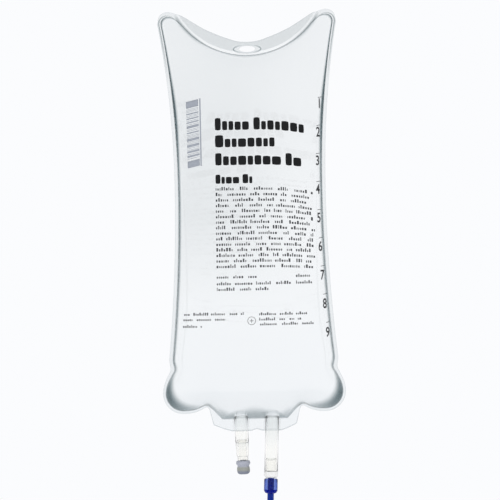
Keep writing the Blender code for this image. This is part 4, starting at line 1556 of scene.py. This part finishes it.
@dataclass
class Ports:
    """The injection port, the outlet port and the pull-off protector, as turned pieces."""

    injection: PortAxis
    outlet: PortAxis
    fit_gap: float = 0.3 * MM
    injection_wall: float = 1.2 * MM
    injection_top: float = 7.0 * MM
    injection_length: float = 20.0 * MM
    spigot_length: float = 2.2 * MM
    spigot_wall: float = 0.8 * MM
    sleeve_diameter: float = 9.9 * MM
    sleeve_taper: float = 0.4 * MM
    sleeve_length: float = 10.0 * MM
    sleeve_wall: float = 1.3 * MM
    neck_diameter: float = 7.8 * MM
    neck_length: float = 3.0 * MM
    collar_diameter: float = 10.6 * MM
    collar_height: float = 3.3 * MM
    waist_diameter: float = 8.6 * MM
    cap_diameter: float = 9.6 * MM
    cap_height: float = 10.5 * MM
    cap_grip: float = 4.0 * MM
    outlet_wall: float = 0.9 * MM
    outlet_top: float = 6.6 * MM
    outlet_length: float = 41.2 * MM
    membrane_length: float = 13.6 * MM
    membrane_wall: float = 0.65 * MM
    membrane_thickness: float = 0.6 * MM
    membrane_recess: float = 1.0 * MM
    flange_diameter: float = 10.5 * MM
    flange_height: float = 3.7 * MM
    lip_diameter: float = 7.6 * MM
    lip_height: float = 1.3 * MM
    plug_length: float = 5.2 * MM
    plug_neck_diameter: float = 4.6 * MM
    skirt_gap: float = 0.7 * MM
    skirt_diameter: float = 10.2 * MM
    skirt_height: float = 11.2 * MM
    skirt_wall: float = 1.2 * MM
    skirt_floor: float = 3.0 * MM
    stem_diameter: float = 4.9 * MM
    stem_length: float = 18.0 * MM

    def wells(self) -> list[tuple[PortAxis, float, float, float]]:
        """Return each tube's axis, top, bore radius and the height of what closes it below."""
        spigot = self.injection_top - self.injection_length + self.spigot_length
        return [
            (self.injection, self.injection_top, self.injection.tube_radius - self.injection_wall, spigot),
            (self.outlet, self.outlet_top, self.outlet.tube_radius - self.outlet_wall, self.membrane_top()),
        ]

    def membrane_top(self) -> float:
        """Return the height of the membrane tube's upper end."""
        return self.outlet_top - self.outlet_length - self.fit_gap + self.membrane_length - self.flange_height

    def tube(self, axis: PortAxis, wall: float, top: float, length: float) -> bmesh.types.BMesh:
        """Build a plain port tube.

        Args:
            axis: The port's axis.
            wall: The tube's wall.
            top: The height of its upper end.
            length: Its length.

        Returns:
            The tube, in place.
        """
        radius = axis.tube_radius
        bore = radius - wall
        foot = top - length
        return turned([(bore, top), (radius, top), (radius, foot), (bore, foot)], axis.place(), 96, 0.25 * wall)

    def sleeve_profile(self) -> list[Point]:
        """Return the rigid sleeve's profile, with its spigot and neck."""
        bore = self.injection.tube_radius - self.injection_wall
        bottom = self.injection_top - self.injection_length
        spigot = bore - self.fit_gap
        shoulder = bottom - self.fit_gap
        foot = shoulder - self.sleeve_length
        body = self.sleeve_diameter / 2
        neck = self.neck_diameter / 2
        hole = spigot - self.spigot_wall
        return [
            (hole, bottom + self.spigot_length),
            (spigot, bottom + self.spigot_length),
            (spigot, shoulder),
            (body, shoulder),
            (body - self.sleeve_taper, foot + 0.4 * MM),
            (body - self.sleeve_taper - 0.4 * MM, foot),
            (neck, foot),
            (neck, foot - self.neck_length),
            (neck - self.sleeve_wall, foot - self.neck_length),
            (neck - self.sleeve_wall, foot),
            (hole, shoulder),
        ]

    def cap_top(self) -> float:
        """Return the height of the sleeve's lower end, which the cap closes."""
        bottom = self.injection_top - self.injection_length
        return bottom - self.fit_gap - self.sleeve_length - self.neck_length

    def cap_profile(self) -> list[Point]:
        """Return the rubber cap's profile: rolled collar, waist, bulb and flat face."""
        end = self.cap_top()
        grip = end + 0.15 * self.cap_grip
        inner = self.neck_diameter / 2 - self.sleeve_wall - self.fit_gap
        collar, waist, bulb = self.collar_diameter / 2, self.waist_diameter / 2, self.cap_diameter / 2
        base = end - self.cap_height
        rim = end - self.fit_gap
        profile = [(0.0, grip), (inner, grip), (inner, rim)]
        roll = self.collar_height / 2
        for turn in np.radians(np.arange(80.0, -81.0, -20.0)):
            profile.append((collar - 0.9 * MM + 0.9 * MM * math.cos(turn), rim - roll + roll * math.sin(turn)))
        foot = rim - self.collar_height
        profile += [
            (waist + 0.1 * MM, foot - 0.2 * MM),
            (waist, foot - 0.6 * MM),
            (waist + 0.15 * MM, foot - 1.1 * MM),
            (bulb - 0.12 * MM, foot - 1.8 * MM),
            (bulb, foot - 2.6 * MM),
            (bulb, base + 2.8 * MM),
            (0.98 * bulb, base + 1.9 * MM),
            (0.92 * bulb, base + 1.15 * MM),
            (0.82 * bulb, base + 0.55 * MM),
            (0.68 * bulb, base + 0.18 * MM),
            (0.52 * bulb, base),
            (0.0, base),
        ]
        return profile

    def membrane_profile(self) -> list[Point]:
        """Return the membrane tube's profile, with the membrane, the flange and the lip."""
        bottom = self.outlet_top - self.outlet_length
        outside = self.outlet.tube_radius - self.outlet_wall - self.fit_gap
        inside = outside - self.membrane_wall
        upper = self.membrane_top()
        membrane = upper - self.membrane_recess
        flange_top = bottom - self.fit_gap
        foot = flange_top - self.flange_height
        return [
            (0.0, membrane),
            (inside, membrane),
            (inside, upper),
            (outside, upper),
            (outside, flange_top),
            (self.flange_diameter / 2, flange_top),
            (self.flange_diameter / 2, foot),
            (self.lip_diameter / 2, foot - self.lip_height),
            (inside, foot - self.lip_height),
            (inside, membrane - self.membrane_thickness),
            (0.0, membrane - self.membrane_thickness),
        ]

    def protector_profile(self) -> list[Point]:
        """Return the protector's profile: plug, neck, core with its open skirt, and stem."""
        bottom = self.outlet_top - self.outlet_length
        mouth = bottom - self.fit_gap - self.flange_height - self.lip_height
        plug = self.outlet.tube_radius - self.outlet_wall - 2 * self.fit_gap - self.membrane_wall
        neck, stem, skirt = self.plug_neck_diameter / 2, self.stem_diameter / 2, self.skirt_diameter / 2
        rim = mouth - self.skirt_gap
        base = rim - self.skirt_height
        floor = base + self.skirt_floor
        tip = base - self.stem_length
        return [
            (0.0, mouth + self.plug_length),
            (0.8 * plug, mouth + self.plug_length),
            (plug, mouth + 0.85 * self.plug_length),
            (plug, mouth + 0.8 * MM),
            (neck, mouth),
            (neck, rim),
            (stem, rim - 0.6 * MM),
            (stem, floor),
            (skirt - self.skirt_wall, floor),
            (skirt - self.skirt_wall, rim),
            (skirt - 0.3 * self.skirt_wall, rim),
            (skirt, rim - 0.6 * self.skirt_wall),
            (skirt, base + 2.2 * MM),
            (0.82 * skirt, base + 0.6 * MM),
            (stem, base),
            (stem, tip + stem),
            (0.87 * stem, tip + 0.5 * stem),
            (0.5 * stem, tip + 0.13 * stem),
            (0.0, tip),
        ]

    def build(self) -> list[bpy.types.Object]:
        """Build every port piece and return them."""
        injection, outlet = self.injection.place(), self.outlet.place()
        flange_top = (outlet @ Vector((0.0, 0.0, self.outlet_top - self.outlet_length - self.fit_gap))).z
        clear = MouldedClear("tube_plastic", (0.996, 0.994, 0.986), (0.986, 0.984, 0.974), 0.05).build()
        rigid = MouldedClear("sleeve_plastic", (0.998, 0.994, 0.978), (0.990, 0.985, 0.966), 0.12, 0.98).build()
        milky = MouldedClear("membrane_plastic", (0.996, 0.996, 0.984), (0.986, 0.986, 0.972), 0.12, 0.10, 1.30)
        milky = milky.build(flange_top)
        blue = ProtectorPlastic().build(outlet)
        cap_top = (injection @ Vector((0.0, 0.0, self.cap_top()))).z
        cap_base = (injection @ Vector((0.0, 0.0, self.cap_top() - self.cap_height))).z
        rubber = PortRubber().build(cap_top, cap_base)
        bag, tubes = Body.BAG, Slot.TUBE
        inlet = self.tube(self.injection, self.injection_wall, self.injection_top, self.injection_length)
        drain = self.tube(self.outlet, self.outlet_wall, self.outlet_top, self.outlet_length)
        sleeve = turned(self.sleeve_profile(), injection, 96, 0.15 * MM)
        cap = turned(self.cap_profile(), injection, 96, 0.0)
        membrane = turned(self.membrane_profile(), outlet, 96, 0.12 * MM)
        protector = turned(self.protector_profile(), outlet, 96, 0.15 * MM)
        return [
            hand_over(mesh_object(inlet, "inlet_tube", clear), bag, tubes, "injection_port_tube"),
            hand_over(mesh_object(sleeve, "rigid_sleeve", rigid), bag, tubes, "injection_port_sleeve"),
            hand_over(mesh_object(cap, "rubber_cap", rubber), bag, Slot.RUBBER, "injection_cap"),
            hand_over(mesh_object(drain, "drain_tube", clear), bag, tubes, "outlet_port_tube"),
            hand_over(mesh_object(membrane, "pierced_tube", milky), bag, Slot.MEMBRANE, "membrane_tube"),
            hand_over(
                mesh_object(protector, "pull_off_cap", blue), Body.PROTECTOR, Slot.PROTECTOR, "outlet_protector"
            ),
        ]


# Studio


@dataclass
class Studio:
    """The camera, the lamps, the surroundings and the floor."""

    frame_width: float = 0.375
    camera_distance: float = 3.0
    centre_x: float = -0.0011
    centre_z: float = -0.1508
    roll: float = 1.24
    floor_z: float = -0.42
    floor_radius: float = 0.95
    sensor: float = 36.0

    def camera(self) -> None:
        """Add the camera, level and in front, rolled as the photograph is."""
        data = bpy.data.cameras.new("camera")
        data.sensor_width = self.sensor
        data.lens = self.sensor * self.camera_distance / self.frame_width
        data.clip_end = 50.0
        camera = bpy.data.objects.new("camera", data)
        bpy.context.scene.collection.objects.link(camera)
        turn = math.radians(self.roll)
        right = Vector((math.cos(turn), 0.0, -math.sin(turn)))
        up = Vector((math.sin(turn), 0.0, math.cos(turn)))
        back = Vector((0.0, -1.0, 0.0))
        axes = Matrix((right, up, back)).transposed().to_4x4()
        camera.matrix_world = Matrix.Translation((self.centre_x, -self.camera_distance, self.centre_z)) @ axes
        bpy.context.scene.camera = camera

    def lamp(self, name: str, place: Colour, size: float, power: float) -> None:
        """Add a soft lamp that faces the bag.

        Args:
            name: The lamp's name.
            place: Where it stands.
            size: The length of its sides.
            power: Its power in watts.
        """
        data = bpy.data.lights.new(name, "AREA")
        data.size = size
        data.energy = power
        lamp = bpy.data.objects.new(name, data)
        bpy.context.scene.collection.objects.link(lamp)
        aim = Vector((0.0, 0.0, self.centre_z)) - Vector(place)
        lamp.matrix_world = Matrix.Translation(place) @ aim.to_track_quat("-Z", "Y").to_matrix().to_4x4()
        lamp.visible_camera = False
        lamp.visible_transmission = False
        lamp.visible_glossy = False

    def surroundings(self) -> None:
        """Set the world: near-white to the camera, and toned by height where the clear pieces bend it."""
        world = bpy.data.worlds.new("studio")
        world.use_nodes = True
        bpy.context.scene.world = world
        nodes, links = world.node_tree.nodes, world.node_tree.links
        nodes.clear()
        place = nodes.new("ShaderNodeTexCoord")
        split = nodes.new("ShaderNodeSeparateXYZ")
        height = nodes.new("ShaderNodeMapRange")
        height.inputs["From Min"].default_value = -1.0
        ramp = nodes.new("ShaderNodeValToRGB")
        stops = (
            (0.000, (0.64, 0.68, 0.70)),
            (0.180, (0.64, 0.68, 0.70)),
            (0.290, (0.80, 0.83, 0.845)),
            (0.420, (0.90, 0.92, 0.93)),
            (0.475, (0.97, 0.98, 0.99)),
            (0.500, (1.00, 1.00, 1.00)),
            (0.650, (1.00, 1.00, 1.00)),
            (0.790, (0.84, 0.87, 0.88)),
            (0.890, (0.58, 0.63, 0.66)),
        )
        elements = ramp.color_ramp.elements
        while len(elements) < len(stops):
            elements.new(0.5)
        for element, (position, colour) in zip(elements, stops):
            element.position = position
            element.color = (*colour, 1.0)
        ray = nodes.new("ShaderNodeLightPath")
        output = nodes.new("ShaderNodeOutputWorld")
        links.new(place.outputs["Generated"], split.inputs["Vector"])
        links.new(split.outputs["Z"], height.inputs["Value"])
        links.new(height.outputs["Result"], ramp.inputs["Fac"])
        ambient = nodes.new("ShaderNodeBackground")
        ambient.inputs["Color"].default_value = (0.78, 0.78, 0.79, 1.0)
        seen = nodes.new("ShaderNodeBackground")
        seen.inputs["Color"].default_value = (0.965, 0.973, 0.990, 1.0)
        bent = nodes.new("ShaderNodeBackground")
        links.new(ramp.outputs["Color"], bent.inputs["Color"])
        glossy = nodes.new("ShaderNodeBackground")
        glossy.inputs["Color"].default_value = (0.58, 0.59, 0.60, 1.0)
        last = ambient
        for flag, shader in (("Is Glossy Ray", glossy), ("Is Transmission Ray", bent), ("Is Camera Ray", seen)):
            mix = nodes.new("ShaderNodeMixShader")
            links.new(ray.outputs[flag], mix.inputs["Fac"])
            links.new(last.outputs[0], mix.inputs[1])
            links.new(shader.outputs[0], mix.inputs[2])
            last = mix
        links.new(last.outputs[0], output.inputs["Surface"])

    def floor(self) -> None:
        """Lay the pale floor, which bent and mirrored rays pass through."""
        bm = bmesh.new()
        bmesh.ops.create_circle(bm, cap_ends=True, segments=128, radius=self.floor_radius)
        bmesh.ops.translate(bm, vec=(0.0, 0.0, self.floor_z), verts=bm.verts)
        bench = Bench("pale_floor")
        bench.set(Roughness=0.9, Base_Color=(0.93, 0.935, 0.945, 1.0))
        bench.set(Emission_Color=(0.97, 0.98, 1.0, 1.0), Emission_Strength=0.16)
        ray = bench.add("ShaderNodeLightPath")
        bent = bench.add("ShaderNodeMath", operation="MAXIMUM")
        clear = bench.add("ShaderNodeBsdfTransparent")
        mix = bench.add("ShaderNodeMixShader")
        bench.links.new(ray.outputs["Is Transmission Ray"], bent.inputs[0])
        bench.links.new(ray.outputs["Is Glossy Ray"], bent.inputs[1])
        bench.links.new(bent.outputs["Value"], mix.inputs["Fac"])
        bench.links.new(bench.shader.outputs[0], mix.inputs[1])
        bench.links.new(clear.outputs[0], mix.inputs[2])
        bench.links.new(mix.outputs[0], bench.output.inputs["Surface"])
        mesh_object(bm, "floor", bench.material)

    def build(self) -> None:
        """Set up the whole studio."""
        self.camera()
        self.lamp("key", (-1.1, -1.5, 0.9), 1.2, 7.0)
        self.lamp("fill", (1.4, -1.3, 0.2), 1.4, 3.0)
        self.lamp("back", (0.4, 1.6, 0.7), 1.2, 4.0)
        self.surroundings()
        self.floor()
        scene = bpy.context.scene
        scene.view_settings.view_transform = "Standard"
        scene.cycles.max_bounces = 24
        scene.cycles.transmission_bounces = 24
        scene.cycles.transparent_max_bounces = 16


def main() -> None:
    """Build the bag's pieces in order, and report each."""
    logging.basicConfig(level=logging.INFO, format="%(name)s: %(message)s")
    Studio().build()
    injection = PortAxis(x=-10.4 * MM, lean=1.5)
    outlet = PortAxis(x=12.7 * MM, lean=-2.5)
    shape = BagShape(injection, outlet)
    film = ClearFilm().build()
    rings = shape.rings()
    sheets = FilmSheets(shape, rings)
    ports = Ports(injection, outlet)
    front = sheets.build(Side.FRONT, film)
    sheets.build(Side.BACK, film)
    FrontPrint(front, shape).build()
    FluidFill(shape, rings).build(Saline().build(), ports)
    ports.build()


if __name__ == "__main__":
    main()
